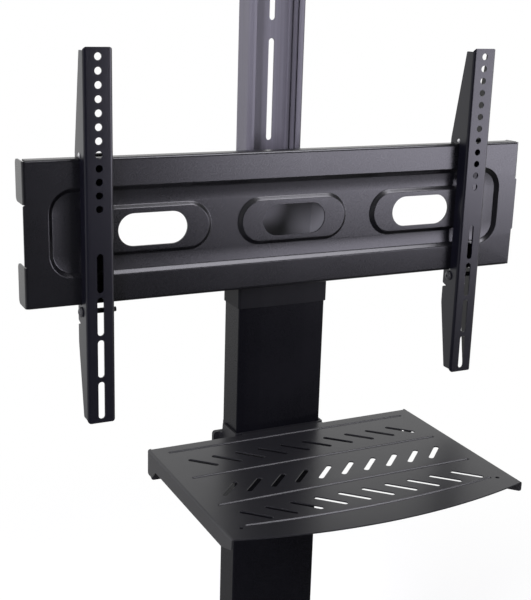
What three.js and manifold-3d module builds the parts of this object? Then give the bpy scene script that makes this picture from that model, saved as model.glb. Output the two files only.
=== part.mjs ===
// Mobile TV stand: an H-shaped base on four braked swivel casters, a two-part column whose
// upper mast slides in the lower tube, a shelf clamped round the column, and a stamped wall
// plate that carries two sliding TV arms.
// Millimetres. X runs to the right, Y to the back and Z up. The origin is on the floor, under
// the middle of the base.

import * as THREE from "three";
import { mergeVertices } from "three/addons/utils/BufferGeometryUtils.js";
import Module from "manifold-3d";

const wasm = await Module();
wasm.setup();

// Fits shared by all pieces
const seatGap = 0.3; // between two pieces that touch
const slideGap = 0.6; // each side of the mast in its tube
const holeGap = 0.2; // round a bolt or a pin in its hole
const overrun = 2; // how far a cutting tool runs past a face
const weldDistance = 1e-4;

// Main heights and places
const overallHeight = 1530;
const plateCentreZ = 1150;
const shelfTopZ = 875;
const mastCentreY = 60;

// Wall plate
const plateLength = 660;
const plateHeight = 166;
const plateGauge = 2;
const plateFlangeDepth = 15;
const plateBendRadius = 3.5;
const tabHeight = 48;
const tabDepth = 31;
const tabCornerRadius = 6;
const tabRelief = 4;
const panelLength = 606;
const panelHeight = 103;
const panelDepth = 4;
const panelCornerRadius = 29;
const bossLength = 148;
const bossHeight = 59;
const bossPitch = 181;
const windowLength = 84;
const windowHeight = 38;
const stampRadius = 3;

// Mount bracket, which joins the plate to the mast
const mountDepth = 60; // front of the plate to front of the mast
const bracketInside = 105.4;
const bracketGauge = 3;
const bracketHeight = 124;
const bracketLip = 40;
const clampBoltRise = 15; // upper bolt above the plate's centre
const clampBoltDrop = 40; // lower bolt below it
const clampPlateMargin = 12;
const clampPlateGauge = 3.6;

// TV arms
const armSpacing = 500;
const armWidth = 33;
const armGauge = 2;
const armTopRise = 203; // top end above the plate's centre
const armBottomDrop = 220.5;
const armStandoff = 17.5; // front of the arm to front of the plate
const armEndDepth = 15;
const armHookDepth = 36;
const armEarDepth = 31.5;
const armEarHeight = 20;
const armNotchHeight = 5;
const armNotchDepth = 8;
const armTaperStart = 130; // where the lower flanges start to narrow
const armHookDrop = 7;
const armHookRise = 5;
const armBendRadius = 3.5;
const armCornerRadius = 4;
const armHoleCount = 12;
const armHolePitch = 14.9;
const armHoleRadius = 4.1;
const armFirstHole = 9.8; // top end to the first hole
const armSlotCount = 4;
const armSlotPitch = 50;
const armSlotLength = 45;
const armSlotWidth = 7.6;
const armLastSlot = 27.2; // bottom end to the middle of the last slot
const armPinSetback = 1; // behind the front of the plate
const hookPinRadius = 2.2;
const hookPinHead = 1; // how far a rivet head stands out
const lockScrewRadius = 3;
const lockScrewDrop = 8; // below the plate's bottom edge

// Mast
const mastWidth = 75;
const mastDepth = 37;
const mastLength = 912;
const mastWall = 3;
const mastWeb = 3;
const mastLipWidth = 9;
const mastLipGauge = 2.5;
const mastCornerRadius = 5;
const mastRibInside = 21.2; // from the middle to the near side of a rib
const mastRibGauge = 4.6;
const mastRibHeight = 3;
const mastSlotLength = 124.2;
const mastSlotWidth = 8;
const mastSlotBridge = 21.3;
const mastSlotMargin = 21;
const mastCapThickness = 4;
const mastCapOverlap = 1;
const mastCapPlug = 12;
const mastCapPlugDepth = 10;

// Lower column, cover and collar
const tubeWall = 3;
const tubeCornerRadius = 4;
const coverWidth = 119.4;
const coverDepth = 44.5;
const coverWall = 2;
const coverWrap = 10.6; // how far the cover reaches behind the tube's front
const coverBow = 1.8;
const coverCornerRadius = 1.5;
const collarWall = 1.4;
const collarTopWall = 3;
const collarHeight = 28;
const collarBelowPlate = 3; // top of the collar below the plate's bottom edge
const collarEdgeRadius = 1.2;
const columnScrewDrop = 75; // below the collar's top
const columnScrewOffset = 10.5;

// Shelf
const shelfWidth = 369;
const shelfDepth = 249; // back edge to the front corners
const shelfBow = 25.5;
const shelfGauge = 1.5;
const shelfStandoff = 13.3; // back edge in front of the cover
const shelfSideDrop = 20;
const shelfRearDrop = 32;
const shelfRearFlangeDrop = 41;
const shelfRearTab = 13;
const shelfCornerSlit = 1; // between a side flange and the rear flange
const shelfBracketSlit = 1; // between the rear flange and the bracket that passes it
const shelfTabSlope = 12;
const shelfNoseLength = 26;
const shelfNoseDrop = 12;
const shelfBendRadius = 2.5;
const shelfSlotCount = 10;
const shelfSlotPitch = 30.4;
const shelfSlotLength = 39;
const shelfSlotWidth = 6.4;
const shelfFirstRow = 60.7; // back edge to the middle of the first row
const shelfSecondRow = 138.2;
const shelfThirdRow = 207.2;
const shelfRibLength = 332;
const shelfRibWidth = 5;
const shelfRibDepth = 1.2;
const shelfFirstRib = 19.5;
const shelfSecondRib = 96.5;
const shelfThirdRib = 171.5;
const shelfBowedRib = 234; // back edge to the middle of the bowed groove
const shelfRibBow = 12;
const shelfHoleRadius = 2.5;
const shelfHoleInset = 20;
const shelfBracketHeight = 60;
const shelfBracketGauge = 3;
const shelfBracketLength = 90;
const shelfBracketWidth = 110;
const shelfGussetGauge = 3;
const shelfEarWidth = 9.3;
const shelfEarDrop = 14;
const shelfEarRadius = 4;

// Base
const legSpacing = 820;
const legLength = 600;
const legWidth = 50;
const legHeight = 30;
const legWall = 2;
const legCornerRadius = 4;
const legCapThickness = 5;
const legCapPlug = 16;
const legCapRound = 2;
const crossbarDepth = 100;
const crossbarWall = 2;
const crossbarEndPlate = 4;
const legBoltSpacing = 60;
const footPlateWidth = 140;
const footPlateGauge = 5;
const footPlateMargin = 6;
const footWallGauge = 5;
const footWallHeight = 120;
const footWallCorner = 8;
const footBoltLowerHeight = 40;
const footBoltUpperHeight = 90;

// Casters
const casterInset = 70;
const wheelRadius = 30;
const wheelWidth = 22;
const wheelRimRadius = 20;
const wheelRecess = 4;
const tyreShoulder = 3.5;
const axleRadius = 4;
const axleHeadRadius = 6;
const axleHeadThickness = 2;
const casterTrail = 22;
const forkHeadroom = 6;
const forkGauge = 3;
const forkSideGap = 1;
const forkTopRadius = 17;
const forkToeRadius = 9;
const kingpinRadius = 5;
const kingpinHeadRadius = 8;
const kingpinHeadThickness = 2.5;
const raceRadius = 16;
const raceThickness = 4;
const stemNutRadius = 8.5;
const stemNutThickness = 7;
const pedalPivotBack = 16; // behind the wheel's axle
const pedalPivotRise = 32; // above the wheel's axle
const pedalPinRadius = 2.5;
const pedalHubRadius = 4;
const pedalTongue = 30;
const pedalThickness = 3.5;
const pedalPadWidth = 40;
const pedalPadLength = 14;

// Fasteners: shank radius, head across corners, head and nut thickness
const boltRadius = 4;
const boltHeadRadius = 7.2;
const boltHeadThickness = 5.3;
const smallBoltRadius = 2.5;
const smallBoltHeadRadius = 4.4;
const smallBoltHeadThickness = 3.6;
const panHeadRadius = 6;
const panHeadThickness = 3.4;
const domeShare = 0.9;
const domeEdgeShare = 0.85;

// How finely curves are divided
const cornerSteps = 1;
const railSteps = 3;
const endSteps = 2;
const sweepSteps = 4;
const bowSteps = 8;
const holeSteps = 4;
const armHoleSteps = 4;
const wheelSteps = 24;
const turnedSteps = 8;
const hexSteps = 6;

// Places that follow from the sizes above
const mastFrontY = mastCentreY - mastDepth / 2;
const mastBackY = mastCentreY + mastDepth / 2;
const plateFrontY = mastFrontY - mountDepth;
const plateBottomZ = plateCentreZ - plateHeight / 2;
const plateTopZ = plateCentreZ + plateHeight / 2;
const tubeWidth = mastWidth + 2 * (slideGap + tubeWall);
const tubeDepth = mastDepth + 2 * (slideGap + tubeWall);
const tubeFrontY = mastCentreY - tubeDepth / 2;
const tubeBackY = mastCentreY + tubeDepth / 2;
const coverBackY = tubeFrontY + coverWrap;
const coverFrontY = coverBackY - coverDepth;
const collarTopZ = plateBottomZ - collarBelowPlate;
const columnTopZ = collarTopZ - collarTopWall - seatGap;
const mastTopZ = overallHeight - mastCapThickness - seatGap;
const mastBottomZ = mastTopZ - mastLength;
const forkTopZ = 2 * wheelRadius + forkHeadroom + forkGauge;
const raceTopZ = forkTopZ + seatGap + raceThickness;
const legBottomZ = raceTopZ + seatGap;
const legTopZ = legBottomZ + legHeight;
const footTopZ = legTopZ + seatGap + footPlateGauge;
const columnBottomZ = footTopZ + seatGap;
const columnMiddleY = (coverFrontY + tubeBackY) / 2;
const shelfBackY = coverFrontY - shelfStandoff;
const shelfUnderZ = shelfTopZ - shelfGauge;

// Finishes
const powderCoat = finish(0x1d1d21, 0.55, 0.35);
const plateCoat = finish(0x26262b, 0.5, 0.35);
const shelfCoat = finish(0x3c3c41, 0.6, 0.3);
const anodised = finish(0x17181a, 0.42, 0.5);
const mastCoat = finish(0x55555c, 0.45, 0.5);
const mouldedPlastic = finish(0x1c1c1e, 0.5, 0);
const blackSteel = finish(0x2a2a2c, 0.35, 0.8);
const brightSteel = finish(0x9a9a9e, 0.3, 0.9);
const rubber = finish(0x151515, 0.8, 0);

function finish(color, roughness, metalness) {
  return new THREE.MeshStandardMaterial({ color, roughness, metalness });
}

// Outlines in a plane

function polygon(points) {
  return new THREE.Shape(points.map(([x, y]) => new THREE.Vector2(x, y)));
}

function rectangle(left, bottom, right, top) {
  return polygon([
    [left, bottom],
    [right, bottom],
    [right, top],
    [left, top],
  ]);
}

function roundedRectangle(left, bottom, right, top, radius) {
  const shape = new THREE.Shape();
  shape.moveTo(left + radius, bottom);
  shape.lineTo(right - radius, bottom);
  shape.absarc(right - radius, bottom + radius, radius, -Math.PI / 2, 0);
  shape.lineTo(right, top - radius);
  shape.absarc(right - radius, top - radius, radius, 0, Math.PI / 2);
  shape.lineTo(left + radius, top);
  shape.absarc(left + radius, top - radius, radius, Math.PI / 2, Math.PI);
  shape.lineTo(left, bottom + radius);
  shape.absarc(left + radius, bottom + radius, radius, Math.PI, 1.5 * Math.PI);
  return shape;
}

function centredRectangle(width, height, radius, middleX = 0, middleY = 0) {
  const [left, right] = [middleX - width / 2, middleX + width / 2];
  const [bottom, top] = [middleY - height / 2, middleY + height / 2];
  return roundedRectangle(left, bottom, right, top, radius);
}

// A slot with round ends, turned by an angle about its middle
function slotOutline(length, width, middleX, middleY, angle = 0) {
  const radius = width / 2;
  const half = length / 2 - radius;
  const [alongX, alongY] = [half * Math.cos(angle), half * Math.sin(angle)];
  const shape = new THREE.Shape();
  const quarter = Math.PI / 2;
  shape.absarc(middleX + alongX, middleY + alongY, radius, angle - quarter, angle + quarter);
  shape.absarc(middleX - alongX, middleY - alongY, radius, angle + quarter, angle + 3 * quarter);
  return shape;
}

function circle(radius, middleX = 0, middleY = 0) {
  const shape = new THREE.Shape();
  shape.absarc(middleX, middleY, radius, 0, 2 * Math.PI);
  return shape;
}

// Points from the left to the right along an edge that bulges towards -Y
function bowedEdge(halfWidth, endY, bow) {
  const curve = new THREE.QuadraticBezierCurve(
    new THREE.Vector2(-halfWidth, endY),
    new THREE.Vector2(0, endY - 2 * bow),
    new THREE.Vector2(halfWidth, endY),
  );
  return curve.getPoints(bowSteps).map(({ x, y }) => [x, y]);
}

// A hole that clears a round pin, with its flats rather than its corners at the gap
function hole(pinRadius, middleX = 0, middleY = 0) {
  const clear = (pinRadius + holeGap) / Math.cos(Math.PI / (2 * holeSteps));
  return circle(clear, middleX, middleY);
}

// Solids

function solidOf(geometry) {
  geometry.deleteAttribute("normal");
  geometry.deleteAttribute("uv");
  const welded = mergeVertices(geometry, weldDistance);
  const vertProperties = welded.attributes.position.array;
  const triVerts = new Uint32Array(welded.index.array);
  return new wasm.Manifold(new wasm.Mesh({ numProp: 3, vertProperties, triVerts }));
}

function join(...solids) {
  return wasm.Manifold.union(solids.flat());
}

function cut(solid, ...tools) {
  return solid.subtract(wasm.Manifold.union(tools.flat()));
}

function extrusion(shape, length, steps, round, roundSteps) {
  return new THREE.ExtrudeGeometry(shape, {
    depth: length - 2 * round,
    curveSegments: steps,
    bevelEnabled: round > 0,
    bevelThickness: round,
    bevelSize: round,
    bevelOffset: -round,
    bevelSegments: roundSteps,
  }).translate(0, 0, round);
}

// A prism along Z from an outline in X and Y; round softens the edges of both ends
function prismZ(shape, from, to, steps = cornerSteps, round = 0, roundSteps = 1) {
  const geometry = extrusion(shape, to - from, steps, round, roundSteps);
  return solidOf(geometry.translate(0, 0, from));
}

// A prism along Y from an outline in X and Z, as seen from the front
function prismY(shape, from, to, steps = cornerSteps, round = 0, roundSteps = 1) {
  const geometry = extrusion(shape, to - from, steps, round, roundSteps);
  return solidOf(geometry.rotateX(Math.PI / 2).translate(0, to, 0));
}

// A prism along X from an outline in Y and Z, as seen from the right
function prismX(shape, from, to, steps = cornerSteps, round = 0, roundSteps = 1) {
  const geometry = extrusion(shape, to - from, steps, round, roundSteps);
  const [x, y, z] = [0, 1, 2].map((n) => new THREE.Vector3().setComponent(n, 1));
  const turned = geometry.applyMatrix4(new THREE.Matrix4().makeBasis(y, z, x));
  return solidOf(turned.translate(from, 0, 0));
}

// A turned solid about the Z axis from points of radius and height, listed upwards from the
// bottom of the axis or, for a ring, once round the section
function turned(points, steps = turnedSteps, start = 0) {
  const closed = points[0][0] > 0 ? [...points, points[0]] : points;
  const profile = closed.map(([radius, height]) => new THREE.Vector2(radius, height));
  return solidOf(new THREE.LatheGeometry(profile, steps, start).rotateX(Math.PI / 2));
}

function alongX(solid) {
  return solid.rotate([0, 90, 0]);
}

function alongY(solid) {
  return solid.rotate([-90, 0, 0]);
}

// Bolt with its head below zero and a nut above the grip, along Z
function boltSolid(grip, radius, headRadius, headThickness) {
  const shank = turned(
    [
      [0, -headThickness / 2],
      [radius, -headThickness / 2],
      [radius, grip + headThickness + radius / 2],
      [0, grip + headThickness + radius / 2],
    ],
    turnedSteps,
  );
  const hexagon = (from, to) => {
    const points = [
      [0, from],
      [headRadius, from],
      [headRadius, to],
      [0, to],
    ];
    return turned(points, hexSteps);
  };
  const head = hexagon(-headThickness, 0);
  const nut = hexagon(grip, grip + headThickness);
  return join(shank, head, nut);
}

// Keeps only what lies inside an outline seen along one axis
function trimmed(prism, solid, outline, from, to, reach, steps = cornerSteps) {
  const frame = rectangle(-reach, -reach, reach, reach);
  frame.holes.push(outline);
  return cut(solid, prism(frame, from, to, steps));
}

// The assembled stand

const stand = new THREE.Group();

function place(name, solid, material, parent = stand) {
  const mesh = solid.getMesh();
  const geometry = new THREE.BufferGeometry();
  geometry.setAttribute("position", new THREE.BufferAttribute(mesh.vertProperties, 3));
  geometry.setIndex(new THREE.BufferAttribute(mesh.triVerts, 1));
  const flat = geometry.toNonIndexed();
  flat.computeVertexNormals();
  const piece = new THREE.Mesh(flat, material);
  piece.name = name;
  parent.add(piece);
  return piece;
}

const sides = [
  { name: "left", sign: -1 },
  { name: "right", sign: 1 },
];
const ends = [
  { name: "front", sign: -1 },
  { name: "rear", sign: 1 },
];

// Base: two legs joined by a crossbar

function legSolid() {
  const [bottom, top] = [legBottomZ, legTopZ];
  const middleZ = (bottom + top) / 2;
  const outer = centredRectangle(legWidth, legHeight, legCornerRadius, 0, middleZ);
  const inner = centredRectangle(
    legWidth - 2 * legWall,
    legHeight - 2 * legWall,
    legCornerRadius - legWall,
    0,
    middleZ,
  );
  outer.holes.push(inner);
  const tube = prismY(outer, -legLength / 2, legLength / 2);
  const stemHoles = ends.map(({ sign }) => {
    const middle = hole(kingpinRadius, 0, sign * (legLength / 2 - casterInset));
    return prismZ(middle, bottom - overrun, bottom + legWall + overrun, holeSteps);
  });
  const boltHoles = ends.map(({ sign }) => {
    const middle = hole(boltRadius, columnMiddleY + (sign * legBoltSpacing) / 2, middleZ);
    return prismX(middle, -legWidth / 2 - overrun, legWidth / 2 + overrun, holeSteps);
  });
  return cut(tube, stemHoles, boltHoles);
}

function legCapSolid() {
  const plugRadius = legCornerRadius - legWall;
  const plugWidth = legWidth - 2 * (legWall + seatGap);
  const plugHeight = legHeight - 2 * (legWall + seatGap);
  const face = centredRectangle(legWidth, legHeight, legCornerRadius);
  const plug = centredRectangle(plugWidth, plugHeight, plugRadius);
  const front = prismY(face, -legCapThickness, 0, cornerSteps, legCapRound);
  const back = prismY(plug, -legCapRound, legCapPlug);
  return join(front, back);
}

function crossbarSolid() {
  const middleZ = (legBottomZ + legTopZ) / 2;
  const half = legSpacing / 2 - legWidth / 2 - seatGap;
  const outline = (inset) =>
    centredRectangle(
      crossbarDepth - 2 * inset,
      legHeight - 2 * inset,
      legCornerRadius - inset,
      columnMiddleY,
      middleZ,
    );
  const bar = prismX(outline(0), -half, half);
  const hollow = prismX(outline(crossbarWall), -half + crossbarEndPlate, half - crossbarEndPlate);
  const boltHoles = ends.map(({ sign }) => {
    const middle = hole(boltRadius, columnMiddleY + (sign * legBoltSpacing) / 2, middleZ);
    return prismX(middle, -half - overrun, half + overrun, holeSteps);
  });
  return cut(bar, hollow, boltHoles);
}

function addBase() {
  for (const side of sides) {
    const leg = place("base_leg_" + side.name, legSolid(), powderCoat);
    leg.position.x = (side.sign * legSpacing) / 2;
    for (const end of ends) {
      const cap = place("leg_cap_" + end.name + "_" + side.name, legCapSolid(), mouldedPlastic);
      cap.rotation.z = end.sign > 0 ? Math.PI : 0;
      const middleZ = (legBottomZ + legTopZ) / 2;
      cap.position.set(leg.position.x, end.sign * (legLength / 2 + seatGap), middleZ);
      const grip = legWidth + crossbarEndPlate + 3 * seatGap;
      const upright = boltSolid(grip, boltRadius, boltHeadRadius, boltHeadThickness);
      const bolt = place("leg_bolt_" + end.name + "_" + side.name, alongX(upright), blackSteel);
      const outerX = (legSpacing + legWidth) / 2 + seatGap;
      bolt.rotation.z = side.sign > 0 ? Math.PI : 0;
      bolt.position.set(side.sign * outerX, columnMiddleY + (end.sign * legBoltSpacing) / 2, middleZ);
    }
  }
  place("base_crossbar", crossbarSolid(), powderCoat);
}

// Foot: a plate on the crossbar with two walls that grip the tube

function footSolid() {
  const bottom = legTopZ + seatGap;
  const plate = prismZ(
    roundedRectangle(
      -footPlateWidth / 2,
      coverFrontY - footPlateMargin,
      footPlateWidth / 2,
      tubeBackY + footPlateMargin,
      footWallCorner,
    ),
    bottom,
    footTopZ,
  );
  const inside = tubeWidth / 2 + seatGap;
  const profile = roundedRectangle(
    coverBackY + seatGap,
    bottom,
    tubeBackY,
    footTopZ + footWallHeight,
    footWallCorner,
  );
  const walls = [-inside - footWallGauge, inside].map((x) => prismX(profile, x, x + footWallGauge));
  const reach = inside + footWallGauge + overrun;
  const boltHoles = [footBoltLowerHeight, footBoltUpperHeight].map((rise) =>
    prismX(hole(boltRadius, mastCentreY, footTopZ + rise), -reach, reach, holeSteps),
  );
  return cut(join(plate, walls), boltHoles);
}

function addFoot() {
  place("column_foot", footSolid(), powderCoat);
  const half = tubeWidth / 2 + seatGap + footWallGauge + seatGap;
  const bolts = [
    ["foot_bolt_lower", footBoltLowerHeight],
    ["foot_bolt_upper", footBoltUpperHeight],
  ];
  for (const [name, rise] of bolts) {
    const upright = boltSolid(2 * half, boltRadius, boltHeadRadius, boltHeadThickness);
    const bolt = place(name, alongX(upright), blackSteel);
    bolt.position.set(-half, mastCentreY, footTopZ + rise);
  }
}

// Lower column: a steel tube behind a wide bowed cover, with a collar on top of both

function lowerTubeSolid() {
  const outer = centredRectangle(tubeWidth, tubeDepth, tubeCornerRadius, 0, mastCentreY);
  const bore = tubeCornerRadius - tubeWall;
  outer.holes.push(
    centredRectangle(tubeWidth - 2 * tubeWall, tubeDepth - 2 * tubeWall, bore, 0, mastCentreY),
  );
  const tube = prismZ(outer, columnBottomZ, columnTopZ);
  const boltHoles = [footBoltLowerHeight, footBoltUpperHeight].map((rise) =>
    prismX(hole(boltRadius, mastCentreY, footTopZ + rise), -tubeWidth, tubeWidth, holeSteps),
  );
  const screwHoles = sides.map(({ sign }) => {
    const middle = hole(boltRadius, sign * columnScrewOffset, collarTopZ - columnScrewDrop);
    return prismY(middle, mastBackY, tubeBackY + overrun, holeSteps);
  });
  return cut(tube, boltHoles, screwHoles);
}

// The wide part's outline, seen from above, grown outwards by a margin
function coverOutline(margin) {
  const half = coverWidth / 2 + margin;
  const [front, back] = [coverFrontY - margin, coverBackY + margin];
  const corner = coverCornerRadius + margin / 2;
  const sideFront = front + coverBow + corner;
  return polygon([
    [half, back],
    [-half, back],
    [-half, sideFront],
    ...bowedEdge(half - corner, front + coverBow, coverBow),
    [half, sideFront],
  ]);
}

function coverSolid() {
  const shell = prismZ(coverOutline(0), columnBottomZ, columnTopZ, endSteps);
  const [from, to] = [columnBottomZ - overrun, columnTopZ + overrun];
  const hollow = prismZ(coverOutline(-coverWall), from, to, endSteps);
  const half = tubeWidth / 2 + seatGap;
  const doorway = prismZ(
    rectangle(-half, tubeFrontY, half, coverBackY + overrun),
    from,
    to,
  );
  return cut(shell, hollow, doorway);
}

function collarSolid() {
  const bottom = collarTopZ - collarHeight;
  const pocketTop = collarTopZ - collarTopWall;
  const outside = seatGap + collarWall;
  const tubeOutline = (margin) =>
    centredRectangle(
      tubeWidth + 2 * margin,
      tubeDepth + 2 * margin,
      tubeCornerRadius + margin,
      0,
      mastCentreY,
    );
  const body = join(
    prismZ(coverOutline(outside), bottom, collarTopZ, endSteps, collarEdgeRadius),
    prismZ(tubeOutline(outside), bottom, collarTopZ, cornerSteps, collarEdgeRadius),
  );
  const pocket = join(
    prismZ(coverOutline(seatGap), bottom - overrun, pocketTop, endSteps),
    prismZ(tubeOutline(seatGap), bottom - overrun, pocketTop),
  );
  const passage = prismZ(
    centredRectangle(mastWidth + 2 * slideGap, mastDepth + 2 * slideGap, slideGap, 0, mastCentreY),
    pocketTop - overrun,
    collarTopZ + overrun,
  );
  return cut(body, pocket, passage);
}

// A screw from behind whose tip presses on the mast's web
function columnLockScrewSolid() {
  const tip = tubeBackY - mastCentreY - mastWeb / 2;
  return turned(
    [
      [0, -tip],
      [boltRadius, -tip],
      [boltRadius, 0],
      [boltHeadRadius, seatGap],
      [boltHeadRadius, boltHeadThickness],
      [boltRadius, boltHeadThickness + seatGap],
      [0, boltHeadThickness + seatGap],
    ],
    turnedSteps,
  );
}

function addLowerColumn() {
  place("lower_column", lowerTubeSolid(), powderCoat);
  place("column_cover", coverSolid(), anodised);
  place("column_collar", collarSolid(), mouldedPlastic);
  for (const side of sides) {
    const solid = alongY(columnLockScrewSolid());
    const screw = place("column_lock_screw_" + side.name, solid, blackSteel);
    const z = collarTopZ - columnScrewDrop;
    screw.position.set(side.sign * columnScrewOffset, tubeBackY + seatGap, z);
  }
}

// Mast: an H section with hooked rails and low ribs on both sides of a slotted web

function cornerArc(x, y, radius) {
  return Array.from({ length: railSteps + 1 }, (_, n) => {
    const angle = ((Math.PI / 2) * n) / railSteps;
    return [x - radius + radius * Math.cos(angle), y - radius + radius * Math.sin(angle)];
  });
}

function mastOutline() {
  const half = mastWidth / 2;
  const deep = mastDepth / 2;
  const web = mastWeb / 2;
  const ribTop = web + mastRibHeight;
  const ribOutside = mastRibInside + mastRibGauge;
  // One quarter, from the outer corner round the rail and the rib to the middle of the web
  const quarter = [
    ...cornerArc(half, deep, mastCornerRadius),
    [half - mastLipWidth, deep],
    [half - mastLipWidth, deep - mastLipGauge],
    [half - mastWall, deep - mastLipGauge],
    [half - mastWall, web],
    [ribOutside, web],
    [ribOutside, ribTop],
    [mastRibInside, ribTop],
    [mastRibInside, web],
  ];
  const flipped = (signX, signY) => quarter.map(([x, y]) => [signX * x, mastCentreY + signY * y]);
  return polygon([
    ...flipped(1, 1),
    ...flipped(-1, 1).reverse(),
    ...flipped(-1, -1),
    ...flipped(1, -1).reverse(),
  ]);
}

function mastSolid() {
  const profile = prismZ(mastOutline(), mastBottomZ, mastTopZ);
  const pitch = mastSlotLength + mastSlotBridge;
  const room = mastLength - 2 * mastSlotMargin + mastSlotBridge;
  const count = Math.floor(room / pitch);
  const slots = Array.from({ length: count }, (_, n) => {
    const middleZ = mastTopZ - mastSlotMargin - mastSlotLength / 2 - n * pitch;
    const slot = slotOutline(mastSlotLength, mastSlotWidth, 0, middleZ, Math.PI / 2);
    return prismY(slot, mastCentreY - mastWeb, mastCentreY + mastWeb, endSteps);
  });
  return cut(profile, slots);
}

function mastCapSolid() {
  const [width, depth] = [mastWidth + 2 * mastCapOverlap, mastDepth + 2 * mastCapOverlap];
  const bottom = mastTopZ + seatGap;
  const lid = prismZ(
    centredRectangle(width, depth, mastCornerRadius + mastCapOverlap, 0, mastCentreY),
    bottom,
    overallHeight,
    cornerSteps,
    mastCapOverlap,
    2,
  );
  const plugs = [-1, 1].map((sign) => {
    const near = mastCentreY + sign * (mastWeb / 2 + seatGap);
    const far = mastCentreY + sign * (mastWeb / 2 + mastCapPlugDepth);
    const half = mastRibInside - seatGap;
    const outline = rectangle(-half, Math.min(near, far), half, Math.max(near, far));
    return prismZ(outline, bottom - mastCapPlug, bottom + mastCapThickness / 2);
  });
  return join(lid, plugs);
}

function addMast() {
  place("mast", mastSolid(), mastCoat);
  place("mast_cap", mastCapSolid(), mouldedPlastic);
}

// Wall plate: a channel with end tabs, a sunk panel and three raised bosses with windows

function channelOutline() {
  const [front, back] = [plateFrontY, plateFrontY + plateFlangeDepth];
  const [bottom, top] = [plateBottomZ, plateTopZ];
  const bend = plateBendRadius;
  const inner = bend - plateGauge;
  const shape = new THREE.Shape();
  shape.moveTo(back, bottom);
  shape.lineTo(back, bottom + plateGauge);
  shape.lineTo(front + bend, bottom + plateGauge);
  shape.absarc(front + bend, bottom + bend, inner, 1.5 * Math.PI, Math.PI, true);
  shape.lineTo(front + plateGauge, top - bend);
  shape.absarc(front + bend, top - bend, inner, Math.PI, Math.PI / 2, true);
  shape.lineTo(back, top - plateGauge);
  shape.lineTo(back, top);
  shape.lineTo(front + bend, top);
  shape.absarc(front + bend, top - bend, bend, Math.PI / 2, Math.PI);
  shape.lineTo(front, bottom + bend);
  shape.absarc(front + bend, bottom + bend, bend, Math.PI, 1.5 * Math.PI);
  return shape;
}

// The strip that turns back at the right-hand end, seen from above
function tabOutline() {
  const right = plateLength / 2;
  const start = right - tabRelief - 2 * plateBendRadius;
  const [front, back] = [plateFrontY, plateFrontY + tabDepth];
  const bend = plateBendRadius;
  const inner = bend - plateGauge;
  const shape = new THREE.Shape();
  shape.moveTo(start, front);
  shape.lineTo(right - bend, front);
  shape.absarc(right - bend, front + bend, bend, -Math.PI / 2, 0);
  shape.lineTo(right, back);
  shape.lineTo(right - plateGauge, back);
  shape.lineTo(right - plateGauge, front + bend);
  shape.absarc(right - bend, front + bend, inner, 0, -Math.PI / 2, true);
  shape.lineTo(start, front + plateGauge);
  return shape;
}

function tabSolid(sideSign, endSign) {
  const outer = plateCentreZ + (endSign * plateHeight) / 2;
  const inner = outer - endSign * tabHeight;
  const [low, high] = [Math.min(outer, inner), Math.max(outer, inner)];
  const strip = prismZ(tabOutline(), low, high);
  const front = plateFrontY - tabCornerRadius;
  const profile = roundedRectangle(front, low, plateFrontY + tabDepth, high, tabCornerRadius);
  const reach = 2 * overallHeight;
  const rounded = trimmed(prismX, strip, profile, 0, plateLength, reach);
  return sideSign > 0 ? rounded : rounded.mirror([1, 0, 0]);
}

function wallPlateSolid() {
  const faceY = plateFrontY;
  const half = plateLength / 2 - tabRelief;
  const channel = prismX(channelOutline(), -half, half);
  const strip = prismY(
    rectangle(
      -plateLength / 2,
      plateCentreZ - plateHeight / 2 + tabHeight,
      plateLength / 2,
      plateCentreZ + plateHeight / 2 - tabHeight,
    ),
    faceY,
    faceY + plateGauge,
  );
  const tabs = [-1, 1].flatMap((x) => [-1, 1].map((z) => tabSolid(x, z)));
  const sheet = join(channel, strip, tabs);

  const panel = (grow, from, to) => {
    const shape = centredRectangle(
      panelLength + 2 * grow,
      panelHeight + 2 * grow,
      panelCornerRadius + grow,
      0,
      plateCentreZ,
    );
    return prismY(shape, from, to, endSteps, stampRadius);
  };
  const floorBack = faceY + panelDepth + plateGauge;
  const pan = panel(plateGauge, faceY, floorBack);
  const sunk = panel(0, faceY - stampRadius - overrun, faceY + panelDepth);
  const body = cut(join(sheet, pan), sunk);

  const boss = (x, shrink, from, to, round) => {
    const [length, height] = [bossLength - 2 * shrink, bossHeight - 2 * shrink];
    const shape = slotOutline(length, height, x, plateCentreZ);
    return prismY(shape, from, to, sweepSteps, round);
  };
  const bossPlaces = [-bossPitch, 0, bossPitch];
  const round = stampRadius - plateGauge / 2;
  const raised = bossPlaces.map((x) => boss(x, 0, faceY, floorBack, round));
  const hollows = bossPlaces.map((x) =>
    boss(x, plateGauge, faceY + plateGauge, floorBack + round + overrun, round),
  );
  const windows = bossPlaces.map((x) => {
    const shape = slotOutline(windowLength, windowHeight, x, plateCentreZ);
    return prismY(shape, faceY - overrun, floorBack + overrun, sweepSteps);
  });
  return cut(join(body, raised), hollows, windows);
}

// Mount bracket: a hat section between the plate's panel and the mast's front rails

function mountBracketSolid() {
  const front = plateFrontY + panelDepth + plateGauge + seatGap;
  const back = mastFrontY - seatGap;
  const inside = bracketInside / 2;
  const outside = inside + bracketGauge;
  const lip = outside + bracketLip;
  const right = [
    [inside, back - bracketGauge],
    [inside, front],
    [lip, front],
    [lip, front + bracketGauge],
    [outside, front + bracketGauge],
    [outside, back],
  ];
  const left = right.map(([x, y]) => [-x, y]).reverse();
  const [bottom, top] = [plateCentreZ - bracketHeight / 2, plateCentreZ + bracketHeight / 2];
  const hat = prismZ(polygon([...right, ...left]), bottom, top);
  const holes = clampBoltHeights().map((z) =>
    prismY(hole(boltRadius, 0, z), back - 2 * bracketGauge, back + overrun, holeSteps),
  );
  return cut(hat, holes);
}

function clampBoltHeights() {
  return [plateCentreZ + clampBoltRise, plateCentreZ - clampBoltDrop];
}

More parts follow.
